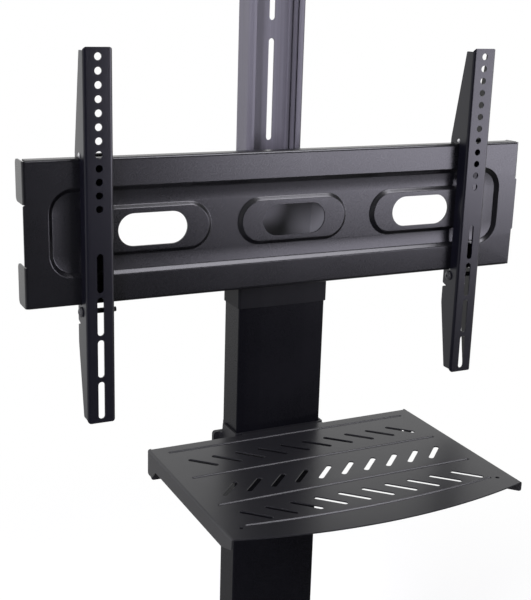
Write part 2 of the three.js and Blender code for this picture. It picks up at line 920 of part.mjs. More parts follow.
// Slides behind the hooked lips of both front rails
function clampPlateSolid() {
  const front = mastFrontY + mastLipGauge + seatGap;
  const half = mastWidth / 2 - mastWall - seatGap;
  const [upper, lower] = clampBoltHeights();
  const plate = prismY(
    roundedRectangle(
      -half,
      lower - clampPlateMargin,
      half,
      upper + clampPlateMargin,
      clampPlateGauge,
    ),
    front,
    front + clampPlateGauge,
  );
  const holes = clampBoltHeights().map((z) =>
    prismY(hole(boltRadius, 0, z), front - overrun, mastCentreY, holeSteps),
  );
  return cut(plate, holes);
}

function addMount() {
  place("wall_plate", wallPlateSolid(), plateCoat);
  place("mount_bracket", mountBracketSolid(), powderCoat);
  place("mount_clamp_plate", clampPlateSolid(), powderCoat);
  const headY = mastFrontY - bracketGauge - 2 * seatGap;
  const nutY = mastFrontY + mastLipGauge + clampPlateGauge + 2 * seatGap;
  const names = ["mount_clamp_bolt_upper", "mount_clamp_bolt_lower"];
  clampBoltHeights().forEach((z, n) => {
    const upright = boltSolid(nutY - headY, boltRadius, boltHeadRadius, boltHeadThickness);
    place(names[n], alongY(upright), blackSteel).position.set(0, headY, z);
  });
}

// TV arms: channels that hook over the plate's top flange

function armProfile() {
  const front = plateFrontY - armStandoff;
  const rest = plateFrontY - seatGap;
  const [bottom, top] = [plateCentreZ - armBottomDrop, plateCentreZ + armTopRise];
  const hookY = plateFrontY + plateFlangeDepth + seatGap;
  const hookTop = plateTopZ + seatGap;
  const earTop = plateBottomZ - seatGap;
  const earBottom = earTop - armEarHeight;
  const notchBottom = earBottom - armNotchHeight;
  return polygon([
    [front, bottom],
    [front + armEndDepth, bottom],
    [front + armEarDepth, plateCentreZ - armTaperStart],
    [front + armEarDepth, notchBottom],
    [front + armEarDepth - armNotchDepth, (notchBottom + earBottom) / 2],
    [front + armEarDepth, earBottom],
    [front + armEarDepth, earTop],
    [rest, earTop],
    [rest, hookTop],
    [hookY, hookTop],
    [hookY, plateTopZ - armHookDrop],
    [front + armHookDepth, plateTopZ - armHookDrop],
    [front + armHookDepth, hookTop + armHookRise],
    [front + armEndDepth, top],
    [front, top],
  ]);
}

function armChannelOutline() {
  const half = armWidth / 2;
  const front = plateFrontY - armStandoff;
  const back = front + armHookDepth + overrun;
  const bend = armBendRadius;
  const inner = bend - armGauge;
  const shape = new THREE.Shape();
  shape.moveTo(half, back);
  shape.lineTo(half - armGauge, back);
  shape.lineTo(half - armGauge, front + bend);
  shape.absarc(half - bend, front + bend, inner, 0, -Math.PI / 2, true);
  shape.lineTo(-half + bend, front + armGauge);
  shape.absarc(-half + bend, front + bend, inner, 1.5 * Math.PI, Math.PI, true);
  shape.lineTo(-half + armGauge, back);
  shape.lineTo(-half, back);
  shape.lineTo(-half, front + bend);
  shape.absarc(-half + bend, front + bend, bend, Math.PI, 1.5 * Math.PI);
  shape.lineTo(half - bend, front);
  shape.absarc(half - bend, front + bend, bend, -Math.PI / 2, 0);
  return shape;
}

function armSolid() {
  const half = armWidth / 2;
  const front = plateFrontY - armStandoff;
  const [bottom, top] = [plateCentreZ - armBottomDrop, plateCentreZ + armTopRise];
  const reach = 2 * overallHeight;
  const channel = prismZ(armChannelOutline(), bottom, top);
  const tapered = trimmed(prismX, channel, armProfile(), -armWidth, armWidth, reach);
  const ends = roundedRectangle(-half, bottom, half, top, armCornerRadius);
  const depth = armHookDepth + 2 * overrun;
  const rounded = trimmed(prismY, tapered, ends, front - overrun, front + depth, reach);
  const through = (shape, steps) =>
    prismY(shape, front - overrun, front + armGauge + overrun, steps);
  const holes = Array.from({ length: armHoleCount }, (_, n) =>
    through(circle(armHoleRadius, 0, top - armFirstHole - n * armHolePitch), armHoleSteps),
  );
  const slots = Array.from({ length: armSlotCount }, (_, n) => {
    const middle = bottom + armLastSlot + n * armSlotPitch;
    return through(slotOutline(armSlotLength, armSlotWidth, 0, middle, Math.PI / 2), endSteps);
  });
  const pinY = plateFrontY + armPinSetback;
  const crossHoles = [
    hole(hookPinRadius, pinY, hookPinHeight()),
    hole(lockScrewRadius, pinY, lockScrewHeight()),
  ].map((shape) => prismX(shape, -armWidth, armWidth, holeSteps));
  return cut(rounded, holes, slots, crossHoles);
}

function hookPinHeight() {
  return plateTopZ + seatGap + hookPinHead + hookPinRadius;
}

function lockScrewHeight() {
  return plateBottomZ - lockScrewDrop;
}

// Pin with a rivet head at each end, along X
function hookPinSolid() {
  const grip = armWidth / 2 + seatGap;
  const head = hookPinHead;
  const edge = hookPinRadius + head;
  return alongX(
    turned(
      [
        [0, -grip - head],
        [edge, -grip - head],
        [edge, -grip],
        [hookPinRadius, -grip],
        [hookPinRadius, grip],
        [edge, grip],
        [edge, grip + head],
        [0, grip + head],
      ],
      turnedSteps,
    ),
  );
}

// Domed screw, along X with its head on the left
function armLockScrewSolid() {
  const grip = armWidth / 2 + seatGap;
  const tip = grip + 2 * panHeadThickness;
  return alongX(
    turned(
      [
        [0, -grip - panHeadThickness],
        [panHeadRadius / 2, -grip - panHeadThickness * domeShare],
        [panHeadRadius * domeEdgeShare, -grip - panHeadThickness / 2],
        [panHeadRadius, -grip],
        [lockScrewRadius, -grip],
        [lockScrewRadius, tip],
        [0, tip],
      ],
      turnedSteps,
    ),
  );
}

function armLockNutSolid() {
  const start = armWidth / 2 + seatGap;
  const bore = (lockScrewRadius + holeGap) / Math.cos(Math.PI / hexSteps);
  const section = [
    [bore, start],
    [panHeadRadius, start],
    [panHeadRadius, start + panHeadThickness],
    [bore, start + panHeadThickness],
  ];
  return alongX(turned(section, hexSteps));
}

function addArms() {
  for (const side of sides) {
    const x = (side.sign * armSpacing) / 2;
    const pinY = plateFrontY + armPinSetback;
    const arm = place("arm_" + side.name, armSolid(), powderCoat);
    arm.position.x = x;
    const pin = place("arm_hook_pin_" + side.name, hookPinSolid(), brightSteel);
    pin.position.set(x, pinY, hookPinHeight());
    const screw = place("arm_lock_screw_" + side.name, armLockScrewSolid(), brightSteel);
    screw.position.set(x, pinY, lockScrewHeight());
    const nut = place("arm_lock_nut_" + side.name, armLockNutSolid(), brightSteel);
    nut.position.set(x, pinY, lockScrewHeight());
  }
}

// Shelf: one pressed sheet with a bowed front, slanted slots and stamped grooves

function shelfOutline() {
  const half = shelfWidth / 2;
  return polygon([
    [half, shelfBackY],
    [-half, shelfBackY],
    ...bowedEdge(half, shelfBackY - shelfDepth, shelfBow),
  ]);
}

function shelfSlots() {
  const rows = [
    { back: shelfFirstRow, turn: -1 },
    { back: shelfSecondRow, turn: 1 },
    { back: shelfThirdRow, turn: -1 },
  ];
  return rows.flatMap(({ back, turn }) =>
    Array.from({ length: shelfSlotCount }, (_, n) => {
      const x = (n - (shelfSlotCount - 1) / 2) * shelfSlotPitch;
      const angle = (turn * Math.PI) / 4;
      return slotOutline(shelfSlotLength, shelfSlotWidth, x, shelfBackY - back, angle);
    }),
  );
}

// A groove bowed like the front edge, given as the outline between two curves
function bowedGroove(width) {
  const half = (shelfRibLength - shelfRibWidth + width) / 2;
  const endY = shelfBackY - shelfBowedRib + shelfRibBow;
  return polygon([
    ...bowedEdge(half, endY - width / 2, shelfRibBow),
    ...bowedEdge(half, endY + width / 2, shelfRibBow).reverse(),
  ]);
}

function shelfGrooves(grow) {
  const width = shelfRibWidth + 2 * grow;
  const length = shelfRibLength + 2 * grow;
  const straight = [shelfFirstRib, shelfSecondRib, shelfThirdRib].map((back) =>
    slotOutline(length, width, 0, shelfBackY - back),
  );
  return [...straight, bowedGroove(width)];
}

// Side flange seen from the right: deep at the back, with a rising nose
function shelfFlangeOutline() {
  const back = shelfBackY;
  const front = shelfBackY - shelfDepth;
  const drop = shelfTopZ - shelfSideDrop;
  return polygon([
    [back, shelfTopZ - shelfRearDrop],
    [back, shelfTopZ],
    [front, shelfTopZ],
    [front, shelfTopZ - shelfNoseDrop],
    [front + shelfNoseLength, drop],
    [back - shelfRearTab - shelfTabSlope, drop],
    [back - shelfRearTab, shelfTopZ - shelfRearDrop],
  ]);
}

function shelfSolid() {
  const half = shelfWidth / 2;
  const blank = shelfOutline();
  const corners = shelfHoleInset;
  const holes = [-1, 1].map((sign) =>
    circle(shelfHoleRadius, sign * (half - corners), shelfBackY - shelfDepth + corners),
  );
  blank.holes.push(...shelfSlots(), ...holes);
  const sheet = prismZ(blank, shelfUnderZ, shelfTopZ, endSteps);
  const flange = shelfFlangeOutline();
  const flanges = [prismX(flange, -half, -half + shelfGauge), prismX(flange, half - shelfGauge, half)];
  const rearFlanges = shelfRearSpans().map(([left, right]) => {
    const outline = rectangle(left, shelfTopZ - shelfRearFlangeDrop, right, shelfTopZ - shelfGauge / 2);
    return prismY(outline, shelfBackY - shelfGauge, shelfBackY);
  });
  const floor = shelfTopZ - shelfRibDepth;
  const pressed = shelfGrooves(shelfGauge / 2).map((shape) =>
    prismZ(shape, floor - shelfGauge, shelfTopZ - shelfGauge / 2, endSteps),
  );
  const grooves = shelfGrooves(0).map((shape) =>
    prismZ(shape, floor, shelfTopZ + overrun, endSteps),
  );
  const foremost = shelfBackY - shelfDepth - shelfBow;
  const sideBends = [-1, 1].map((sign) =>
    prismY(bendCut(sign * half, sign), foremost - overrun, shelfBackY + overrun),
  );
  const rearBends = shelfRearSpans().map(([left, right]) =>
    prismX(bendCut(shelfBackY, 1), left, right),
  );
  return cut(join(sheet, flanges, rearFlanges, pressed), grooves, sideBends, rearBends);
}

// The rear flange stops short of the side flanges and on both sides of the bracket
function shelfRearSpans() {
  const inner = shelfBracketWidth / 2 + shelfBracketSlit;
  const outer = shelfWidth / 2 - shelfGauge - shelfCornerSlit;
  return [
    [-outer, -inner],
    [inner, outer],
  ];
}

// What the outside of a bend takes off a sharp edge, in a plane across that edge
function bendCut(edge, sign) {
  const radius = shelfBendRadius;
  const shape = new THREE.Shape();
  const inside = edge - sign * radius;
  shape.moveTo(edge + sign * overrun, shelfTopZ + overrun);
  shape.lineTo(inside, shelfTopZ + overrun);
  shape.lineTo(inside, shelfTopZ);
  const start = Math.PI / 2;
  const end = sign > 0 ? 0 : Math.PI;
  shape.absarc(inside, shelfTopZ - radius, radius, start, end, sign > 0);
  shape.lineTo(edge + sign * overrun, shelfTopZ - radius);
  return shape;
}

// Bracket under the shelf: a forward plate with gussets, and a U round the cover with ears

function shelfBracketSolid() {
  const top = shelfUnderZ - shelfRibDepth - seatGap;
  const bottom = top - shelfBracketHeight;
  const gauge = shelfBracketGauge;
  const inside = coverWidth / 2 + seatGap;
  const webBack = coverFrontY - seatGap;
  const earFront = coverBackY + seatGap;
  const u = rectangle(-inside - gauge, webBack - gauge, inside + gauge, earFront + gauge);
  u.holes.push(rectangle(-inside, webBack, inside, earFront + gauge - seatGap));
  const wrap = cut(
    prismZ(u, bottom, top),
    prismZ(rectangle(-inside, webBack, inside, earFront + gauge + overrun), bottom - overrun, top + overrun),
  );
  const ears = [-1, 1].map((sign) => {
    const near = sign * inside;
    const far = sign * (inside + gauge + shelfEarWidth);
    const [left, right] = [Math.min(near, far), Math.max(near, far)];
    const shape = roundedRectangle(left, bottom, right, top - shelfEarDrop, shelfEarRadius);
    return prismY(shape, earFront, earFront + gauge);
  });
  const half = shelfBracketWidth / 2;
  const frontY = webBack - shelfBracketLength;
  const tray = prismZ(
    roundedRectangle(-half, frontY, half, webBack, shelfEarRadius),
    top - gauge,
    top,
  );
  const gusset = polygon([
    [webBack - gauge / 2, bottom],
    [webBack - gauge / 2, top - gauge / 2],
    [frontY + shelfEarRadius, top - gauge / 2],
    [frontY + shelfEarRadius, top - 2 * gauge],
    [webBack - 2 * gauge, bottom],
  ]);
  const gussets = [-half + gauge, half - gauge - shelfGussetGauge].map((x) =>
    prismX(gusset, x, x + shelfGussetGauge),
  );
  const holes = shelfBoltPlaces().map(([x, z]) =>
    prismY(hole(smallBoltRadius, x, z), earFront - overrun, earFront + gauge + overrun, holeSteps),
  );
  return cut(join(wrap, ears, tray, gussets), holes);
}

function shelfBoltPlaces() {
  const top = shelfUnderZ - shelfRibDepth - seatGap;
  const x = coverWidth / 2 + seatGap + shelfBracketGauge + shelfEarWidth / 2;
  return [-1, 1].map((sign) => [sign * x, top - (shelfBracketHeight + shelfEarDrop) / 2]);
}

function shelfStrapSolid() {
  const gauge = shelfBracketGauge;
  const front = coverBackY + 2 * seatGap + gauge;
  const inside = tubeWidth / 2 + seatGap;
  const back = tubeBackY + seatGap;
  const edge = coverWidth / 2 + seatGap + gauge + shelfEarWidth;
  const right = [
    [edge, front],
    [edge, front + gauge],
    [inside + gauge, front + gauge],
    [inside + gauge, back + gauge],
  ];
  const inner = [
    [inside, front],
    [inside, back],
  ];
  const mirrored = (points) => points.map(([x, y]) => [-x, y]).reverse();
  const hat = polygon([...right, ...mirrored(right), ...mirrored(inner).reverse(), ...inner.reverse()]);
  const top = shelfUnderZ - shelfRibDepth - seatGap - shelfEarDrop;
  const bottom = top + shelfEarDrop - shelfBracketHeight;
  const strap = prismZ(hat, bottom, top);
  const holes = shelfBoltPlaces().map(([x, z]) =>
    prismY(hole(smallBoltRadius, x, z), front - overrun, front + gauge + overrun, holeSteps),
  );
  return cut(strap, holes);
}

function addShelf() {
  place("shelf", shelfSolid(), shelfCoat);
  place("shelf_bracket", shelfBracketSolid(), powderCoat);
  place("shelf_clamp_strap", shelfStrapSolid(), powderCoat);
  shelfBoltPlaces().forEach(([x, z], n) => {
    const grip = 2 * shelfBracketGauge + 3 * seatGap;
    const upright = boltSolid(grip, smallBoltRadius, smallBoltHeadRadius, smallBoltHeadThickness);
    const bolt = place("shelf_clamp_bolt_" + sides[n].name, alongY(upright), blackSteel);
    bolt.position.set(x, coverBackY, z);
  });
}

// Casters: each is built round its kingpin, standing on the floor

function wheelSolid() {
  const half = wheelWidth / 2;
  const bore = axleRadius + holeGap;
  // Widened so that the flats, not the corners, lie at the wheel's radius
  const tread = wheelRadius / Math.cos(Math.PI / wheelSteps);
  const side = [
    [bore, half],
    [wheelRimRadius, half - wheelRecess],
    [tread - tyreShoulder, half],
    [tread, half - tyreShoulder],
  ];
  const other = side.map(([radius, x]) => [radius, -x]);
  return alongX(turned([...other, ...side.reverse()], wheelSteps, Math.PI / wheelSteps));
}

function axleSolid() {
  const grip = wheelWidth / 2 + forkSideGap + forkGauge + seatGap;
  const head = grip + axleHeadThickness;
  return alongX(
    turned(
      [
        [0, -head],
        [axleHeadRadius, -head],
        [axleHeadRadius, -grip],
        [axleRadius, -grip],
        [axleRadius, grip],
        [axleHeadRadius, grip],
        [axleHeadRadius, head],
        [0, head],
      ],
      turnedSteps,
    ),
  );
}

// Kingpin with its rivet head under the fork, race on top, and threaded end with a nut
function stemSolid() {
  const plateBottom = forkTopZ - forkGauge;
  const headTop = plateBottom - seatGap;
  const raceBottom = forkTopZ + seatGap;
  const nutBottom = legBottomZ + legWall + seatGap;
  const nutTop = nutBottom + stemNutThickness;
  return turned([
    [0, headTop - kingpinHeadThickness],
    [kingpinHeadRadius, headTop - kingpinHeadThickness],
    [kingpinHeadRadius, headTop],
    [kingpinRadius, headTop],
    [kingpinRadius, raceBottom],
    [raceRadius, raceBottom],
    [raceRadius, raceTopZ],
    [kingpinRadius, raceTopZ],
    [kingpinRadius, nutBottom],
    [stemNutRadius, nutBottom],
    [stemNutRadius, nutTop],
    [kingpinRadius, nutTop],
    [kingpinRadius, nutTop + kingpinRadius / 2],
    [0, nutTop + kingpinRadius / 2],
  ]);
}

function forkSolid() {
  const inner = wheelWidth / 2 + forkSideGap;
  const outer = inner + forkGauge;
  const pivotY = casterTrail + pedalPivotBack;
  const pivotZ = wheelRadius + pedalPivotRise;
  const rearY = pivotY + 2 * pedalHubRadius;
  const profile = new THREE.Shape();
  profile.moveTo(-forkTopRadius, forkTopZ);
  profile.lineTo(-forkTopRadius, forkTopZ - 2 * forkGauge);
  profile.lineTo(casterTrail - forkToeRadius, wheelRadius);
  profile.absarc(casterTrail, wheelRadius, forkToeRadius, Math.PI, 2 * Math.PI);
  profile.lineTo(rearY, pivotZ - pedalHubRadius);
  profile.lineTo(rearY, forkTopZ);
  const block = prismX(profile, -outer, outer, endSteps);
  const bottom = wheelRadius - forkToeRadius - overrun;
  const inside = prismX(
    rectangle(-forkTopRadius - overrun, bottom, rearY + overrun, forkTopZ - forkGauge),
    -inner,
    inner,
  );
  const openBack = prismX(
    rectangle(forkTopRadius, bottom, rearY + overrun, forkTopZ + overrun),
    -inner,
    inner,
  );
  const bores = join(
    prismX(hole(axleRadius, casterTrail, wheelRadius), -2 * outer, 2 * outer, holeSteps),
    prismX(hole(pedalPinRadius, pivotY, pivotZ), -2 * outer, 2 * outer, holeSteps),
    prismZ(hole(kingpinRadius), forkTopZ - 2 * forkGauge, forkTopZ + overrun, holeSteps),
  );
  return cut(block, inside, openBack, bores);
}

function pedalSolid() {
  const halfHub = wheelWidth / 2 + forkSideGap - seatGap;
  const pinEnd = wheelWidth / 2 + forkSideGap + forkGauge;
  const hub = prismX(circle(pedalHubRadius), -halfHub, halfHub, holeSteps);
  const pins = prismX(circle(pedalPinRadius), -pinEnd, pinEnd, holeSteps);
  const rise = pedalHubRadius;
  const padStart = pedalTongue - pedalPadLength;
  const tongue = polygon([
    [0, 0],
    [pedalThickness, -pedalThickness / 2],
    [padStart, rise - pedalThickness],
    [pedalTongue, rise - 2 * pedalThickness],
    [pedalTongue, rise - pedalThickness],
    [padStart, rise],
    [0, rise],
  ]);
  const pad = polygon([
    [padStart, rise - pedalThickness],
    [pedalTongue, rise - 2 * pedalThickness],
    [pedalTongue, rise - pedalThickness],
    [padStart, rise],
  ]);
  return join(
    hub,
    pins,
    prismX(tongue, -halfHub, halfHub),
    prismX(pad, -pedalPadWidth / 2, pedalPadWidth / 2),
  );
}

function addCasters() {
  for (const end of ends) {
    for (const side of sides) {
      const label = end.name + "_" + side.name;
      const caster = new THREE.Group();
      const y = end.sign * (legLength / 2 - casterInset);
      caster.position.set((side.sign * legSpacing) / 2, y, 0);
      stand.add(caster);
      place("caster_stem_" + label, stemSolid(), brightSteel, caster);
      place("caster_fork_" + label, forkSolid(), blackSteel, caster);
      const wheel = place("caster_wheel_" + label, wheelSolid(), rubber, caster);
      wheel.position.set(0, casterTrail, wheelRadius);
      const axle = place("caster_axle_" + label, axleSolid(), brightSteel, caster);
      axle.position.set(0, casterTrail, wheelRadius);
      const pedal = place("brake_pedal_" + label, pedalSolid(), mouldedPlastic, caster);
      pedal.position.set(0, casterTrail + pedalPivotBack, wheelRadius + pedalPivotRise);
    }
  }
}

addBase();
addFoot();
addLowerColumn();
addMast();
addMount();
addArms();
addShelf();
addCasters();

export default stand;
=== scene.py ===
import math

import bmesh
import bpy
from mathutils import Matrix, Vector


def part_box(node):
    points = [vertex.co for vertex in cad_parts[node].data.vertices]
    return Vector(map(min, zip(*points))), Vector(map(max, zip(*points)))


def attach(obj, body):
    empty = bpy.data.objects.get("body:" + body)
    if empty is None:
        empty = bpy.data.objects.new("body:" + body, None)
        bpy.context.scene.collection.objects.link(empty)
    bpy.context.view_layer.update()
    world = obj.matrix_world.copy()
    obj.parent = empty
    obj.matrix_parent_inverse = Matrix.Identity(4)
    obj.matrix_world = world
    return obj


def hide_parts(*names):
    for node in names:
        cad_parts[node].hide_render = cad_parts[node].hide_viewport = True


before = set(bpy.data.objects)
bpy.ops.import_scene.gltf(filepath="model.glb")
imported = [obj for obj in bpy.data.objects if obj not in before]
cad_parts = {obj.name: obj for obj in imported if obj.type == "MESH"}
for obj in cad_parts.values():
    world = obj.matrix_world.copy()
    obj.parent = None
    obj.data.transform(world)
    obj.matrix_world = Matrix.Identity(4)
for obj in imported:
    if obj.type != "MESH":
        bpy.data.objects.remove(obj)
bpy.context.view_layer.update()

# Photographer's view
# The stand is seen from its front left and a little above, close to the wall plate,
# so that the base and the top of the mast lie outside the picture.
camera_place = Vector((-0.61215, -1.18765, 1.41610))
camera_yaw = 0.4578
camera_pitch = -0.2728
camera_roll = 0.0300
film_width = 36.0
focal_pixels = 1109.59
picture_width = 531
view_reach = 50

level = Vector((math.cos(camera_yaw), -math.sin(camera_yaw), 0))
ahead = Vector((
    math.sin(camera_yaw) * math.cos(camera_pitch),
    math.cos(camera_yaw) * math.cos(camera_pitch),
    math.sin(camera_pitch),
))
upright = level.cross(ahead)
across = math.cos(camera_roll) * level + math.sin(camera_roll) * upright
above = math.cos(camera_roll) * upright - math.sin(camera_roll) * level
camera_data = bpy.data.cameras.new("photographer")
camera_data.sensor_fit = "HORIZONTAL"
camera_data.sensor_width = film_width
camera_data.lens = focal_pixels * film_width / picture_width
camera_data.clip_end = view_reach
camera = bpy.data.objects.new("photographer", camera_data)
camera_axes = Matrix((across, above, -ahead)).transposed().to_4x4()
camera.matrix_world = Matrix.Translation(camera_place) @ camera_axes
bpy.context.scene.collection.objects.link(camera)
bpy.context.scene.camera = camera
bpy.context.scene.view_settings.view_transform = "Standard"

# Studio
# A photographer's room: white behind and beside the stand, dimmer on the camera's side, with a
# pale round floor that keeps the shadow. One softbox only gives reflections and one only light.


class Tone:
    """A shader value or colour. Sums, differences and products of values add Math nodes."""

    def __init__(self, paint, socket):
        self.paint = paint
        self.socket = socket

    def math(self, operation, first, second):
        return self.paint.node("ShaderNodeMath", {"operation": operation}, {0: first, 1: second})

    def __add__(self, other):
        return self.math("ADD", self, other)

    def __sub__(self, other):
        return self.math("SUBTRACT", self, other)

    def __rsub__(self, other):
        return self.math("SUBTRACT", other, self)

    def __mul__(self, other):
        return self.math("MULTIPLY", self, other)

    __radd__ = __add__
    __rmul__ = __mul__


class Paint:
    """A material or a world under construction, with its nodes and links."""

    def __init__(self, owner):
        owner.use_nodes = True
        self.tree = owner.node_tree
        self.tree.nodes.clear()

    def node(self, kind, settings=None, sockets=None, output=0):
        made = self.tree.nodes.new(kind)
        for name, value in (settings or {}).items():
            setattr(made, name, value)
        for name, value in (sockets or {}).items():
            if isinstance(value, Tone):
                self.tree.links.new(value.socket, made.inputs[name])
            else:
                made.inputs[name].default_value = value
        return Tone(self, made.outputs[output]) if len(made.outputs) else None

    def mixed(self, factor, first, second):
        sockets = {0: factor, 6: first, 7: second}
        return self.node("ShaderNodeMix", {"data_type": "RGBA"}, sockets, output=2)

    def smooth(self, value, start, stop, low, high):
        """Goes smoothly from one level to another while a value goes from start to stop."""
        return self.node("ShaderNodeMapRange", {"interpolation_type": "SMOOTHSTEP"}, {
            "Value": value, "From Min": start, "From Max": stop, "To Min": low, "To Max": high,
        })


def ray_is(paint, *outputs):
    """One where the ray is of one of the kinds that Light Path's outputs tell, otherwise zero."""
    kinds = [paint.node("ShaderNodeLightPath", output=output) for output in outputs]
    found = kinds[0]
    for kind in kinds[1:]:
        found = found.math("MAXIMUM", found, kind)
    return found


straight_rays = ("Is Camera Ray", "Is Transmission Ray")
mirror_rays = ("Is Glossy Ray",)
room_light = 0.5
dim_front = 0.08
dim_floor = 0.45
front_fade = (-0.75, 0.1)
floor_fade = (-0.45, -0.1)
white = (1, 1, 1, 1)
room = bpy.data.worlds.new("white_room")
bpy.context.scene.world = room
sky = Paint(room)
view = sky.node("ShaderNodeTexCoord", output="Generated")
to_back = sky.node("ShaderNodeSeparateXYZ", None, {0: view}, output="Y")
to_top = sky.node("ShaderNodeSeparateXYZ", None, {0: view}, output="Z")
from_front = sky.smooth(to_back, *front_fade, dim_front, 1.0)
from_floor = sky.smooth(to_top, *floor_fade, dim_floor, 1.0)
mirrored = ray_is(sky, *mirror_rays)
unseen = 1 - ray_is(sky, *straight_rays)
sky_strength = 1 - unseen * (1 - mirrored * (from_front * from_floor) - (1 - mirrored) * room_light)
backdrop = sky.node("ShaderNodeBackground", None, {"Color": white, "Strength": sky_strength})
sky.node("ShaderNodeOutputWorld", None, {"Surface": backdrop})

floor_radius = 2.6
floor_sides = 96
floor_colour = (0.9, 0.9, 0.9, 1)
shadow_reach = (0.3, 2.0)
shadow_lift = 0.5
dim_reach = 1.6
floor_mesh = bpy.data.meshes.new("studio_floor")
floor_rim = [2 * math.pi * n / floor_sides for n in range(floor_sides)]
floor_mesh.from_pydata(
    [(floor_radius * math.cos(a), floor_radius * math.sin(a), 0) for a in floor_rim],
    [], [list(range(floor_sides))],
)
studio_floor = bpy.data.objects.new("studio_floor", floor_mesh)
bpy.context.scene.collection.objects.link(studio_floor)
floor_paint = bpy.data.materials.new("pale_floor")
pale = Paint(floor_paint)
floor_place = pale.node("ShaderNodeTexCoord", output="Object")
from_middle = pale.node("ShaderNodeVectorMath", {"operation": "LENGTH"}, {0: floor_place}, output="Value")
lift = pale.smooth(from_middle, *shadow_reach, shadow_lift, 1.0)
matt = pale.node("ShaderNodeBsdfDiffuse", None, {"Color": floor_colour})
floor_back = pale.node("ShaderNodeSeparateXYZ", None, {0: floor_place}, output="Y")
dimness = pale.smooth(floor_back, -dim_reach, dim_reach, dim_front, dim_floor)
floor_mirrored = ray_is(pale, *mirror_rays)
shade = pale.node("ShaderNodeCombineColor", None, {0: dimness, 1: dimness, 2: dimness})
glow_colour = pale.mixed(floor_mirrored, white, shade)
glow = pale.node("ShaderNodeEmission", None, {"Color": glow_colour, "Strength": 1.0})
seen = ray_is(pale, *straight_rays) * lift + floor_mirrored
floor_shader = pale.node("ShaderNodeMixShader", None, {0: seen, 1: matt, 2: glow})
pale.node("ShaderNodeOutputMaterial", None, {"Surface": floor_shader})
floor_mesh.materials.append(floor_paint)

lit_middle = Vector((0, 0, 1.05))
for name, place, size, power, colour, left_out in (
    ("softbox_right", (1.79, -1.79, 1.10), (2.3, 0.8), 42, (0.88, 0.85, 1.0), ["visible_diffuse"]),
    ("softbox_left", (-1.95, -1.58, 1.90), (0.6, 1.2), 175, (0.92, 0.9, 1.0), ["visible_glossy"]),
    ("softbox_high", (1.21, -1.02, 3.48), (1.6, 1.3), 62, (0.92, 0.9, 1.0), []),
):
    lamp_data = bpy.data.lights.new(name, "AREA")
    lamp_data.shape = "RECTANGLE"
    lamp_data.size, lamp_data.size_y = size
    lamp_data.energy = power
    lamp_data.color = colour
    lamp = bpy.data.objects.new(name, lamp_data)
    aim = (lit_middle - Vector(place)).to_track_quat("-Z", "Y")
    lamp.matrix_world = Matrix.Translation(place) @ aim.to_matrix().to_4x4()
    for kind in left_out:
        setattr(lamp, kind, False)
    bpy.context.scene.collection.objects.link(lamp)

# Wall plate
# A long pan stamped from 2 mm steel sheet: a sunk panel with three raised oval bosses, each
# with a window, top and bottom edges and end tabs bent back, and a satin black powder coat.
bend_steps = 6
oval_steps = 10
metre = 1000
forward = Vector((0, -1, 0))


def box_mm(node):
    """Lowest and highest corner of a CAD node, in millimetres."""
    low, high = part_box(node)
    return low * metre, high * metre


def arc(radius, steps):
    """How far a quarter circle lies inside each of its two sides, from one end to the other."""
    angles = [math.pi / 2 * k / steps for k in range(steps + 1)]
    return [(radius * (1 - math.cos(a)), radius * (1 - math.sin(a))) for a in angles]


def bend(radius):
    """How far out and how far back a sheet has come at each step of a right-angled bend."""
    angles = [math.pi / 2 * k / bend_steps for k in range(1, bend_steps + 1)]
    return [(radius * math.sin(a), radius * (1 - math.cos(a))) for a in angles]


def corner_cut(across, half, radius):
    """How far a round-cornered end is cut back at a distance from its middle."""
    past = max(abs(across) - (half - radius), 0)
    return radius - math.sqrt(max(radius ** 2 - past ** 2, 0))


def without_repeats(points, nearest=1e-6):
    kept = [points[0]]
    for point in points[1:]:
        if math.dist(point, kept[-1]) > nearest:
            kept.append(point)
    if math.dist(kept[0], kept[-1]) < nearest:
        kept.pop()
    return kept


def rounded_loop(middle, half_width, half_height, radius, steps=8):
    """Points counter-clockwise round a rectangle with round corners."""
    points = []
    corners = ((1, -1), (1, 1), (-1, 1), (-1, -1))
    for n, (right, top) in enumerate(corners):
        centre_u = middle[0] + right * (half_width - radius)
        centre_v = middle[1] + top * (half_height - radius)
        for k in range(steps + 1):
            angle = math.pi / 2 * (n - 1 + k / steps)
            points.append((centre_u + radius * math.cos(angle), centre_v + radius * math.sin(angle)))
    return without_repeats(points)


def slot_loop(middle, length, width, angle=0.0, steps=6):
    """Points counter-clockwise round a slot with round ends, turned by an angle."""
    reach = length / 2 - width / 2
    points = []
    for end in (0, 1):
        start = angle - math.pi / 2 + end * math.pi
        centre_u = middle[0] + (1 - 2 * end) * reach * math.cos(angle)
        centre_v = middle[1] + (1 - 2 * end) * reach * math.sin(angle)
        for k in range(2 * steps + 1):
            turned_by = start + math.pi * k / (2 * steps)
            points.append((
                centre_u + width / 2 * math.cos(turned_by),
                centre_v + width / 2 * math.sin(turned_by),
            ))
    return without_repeats(points)


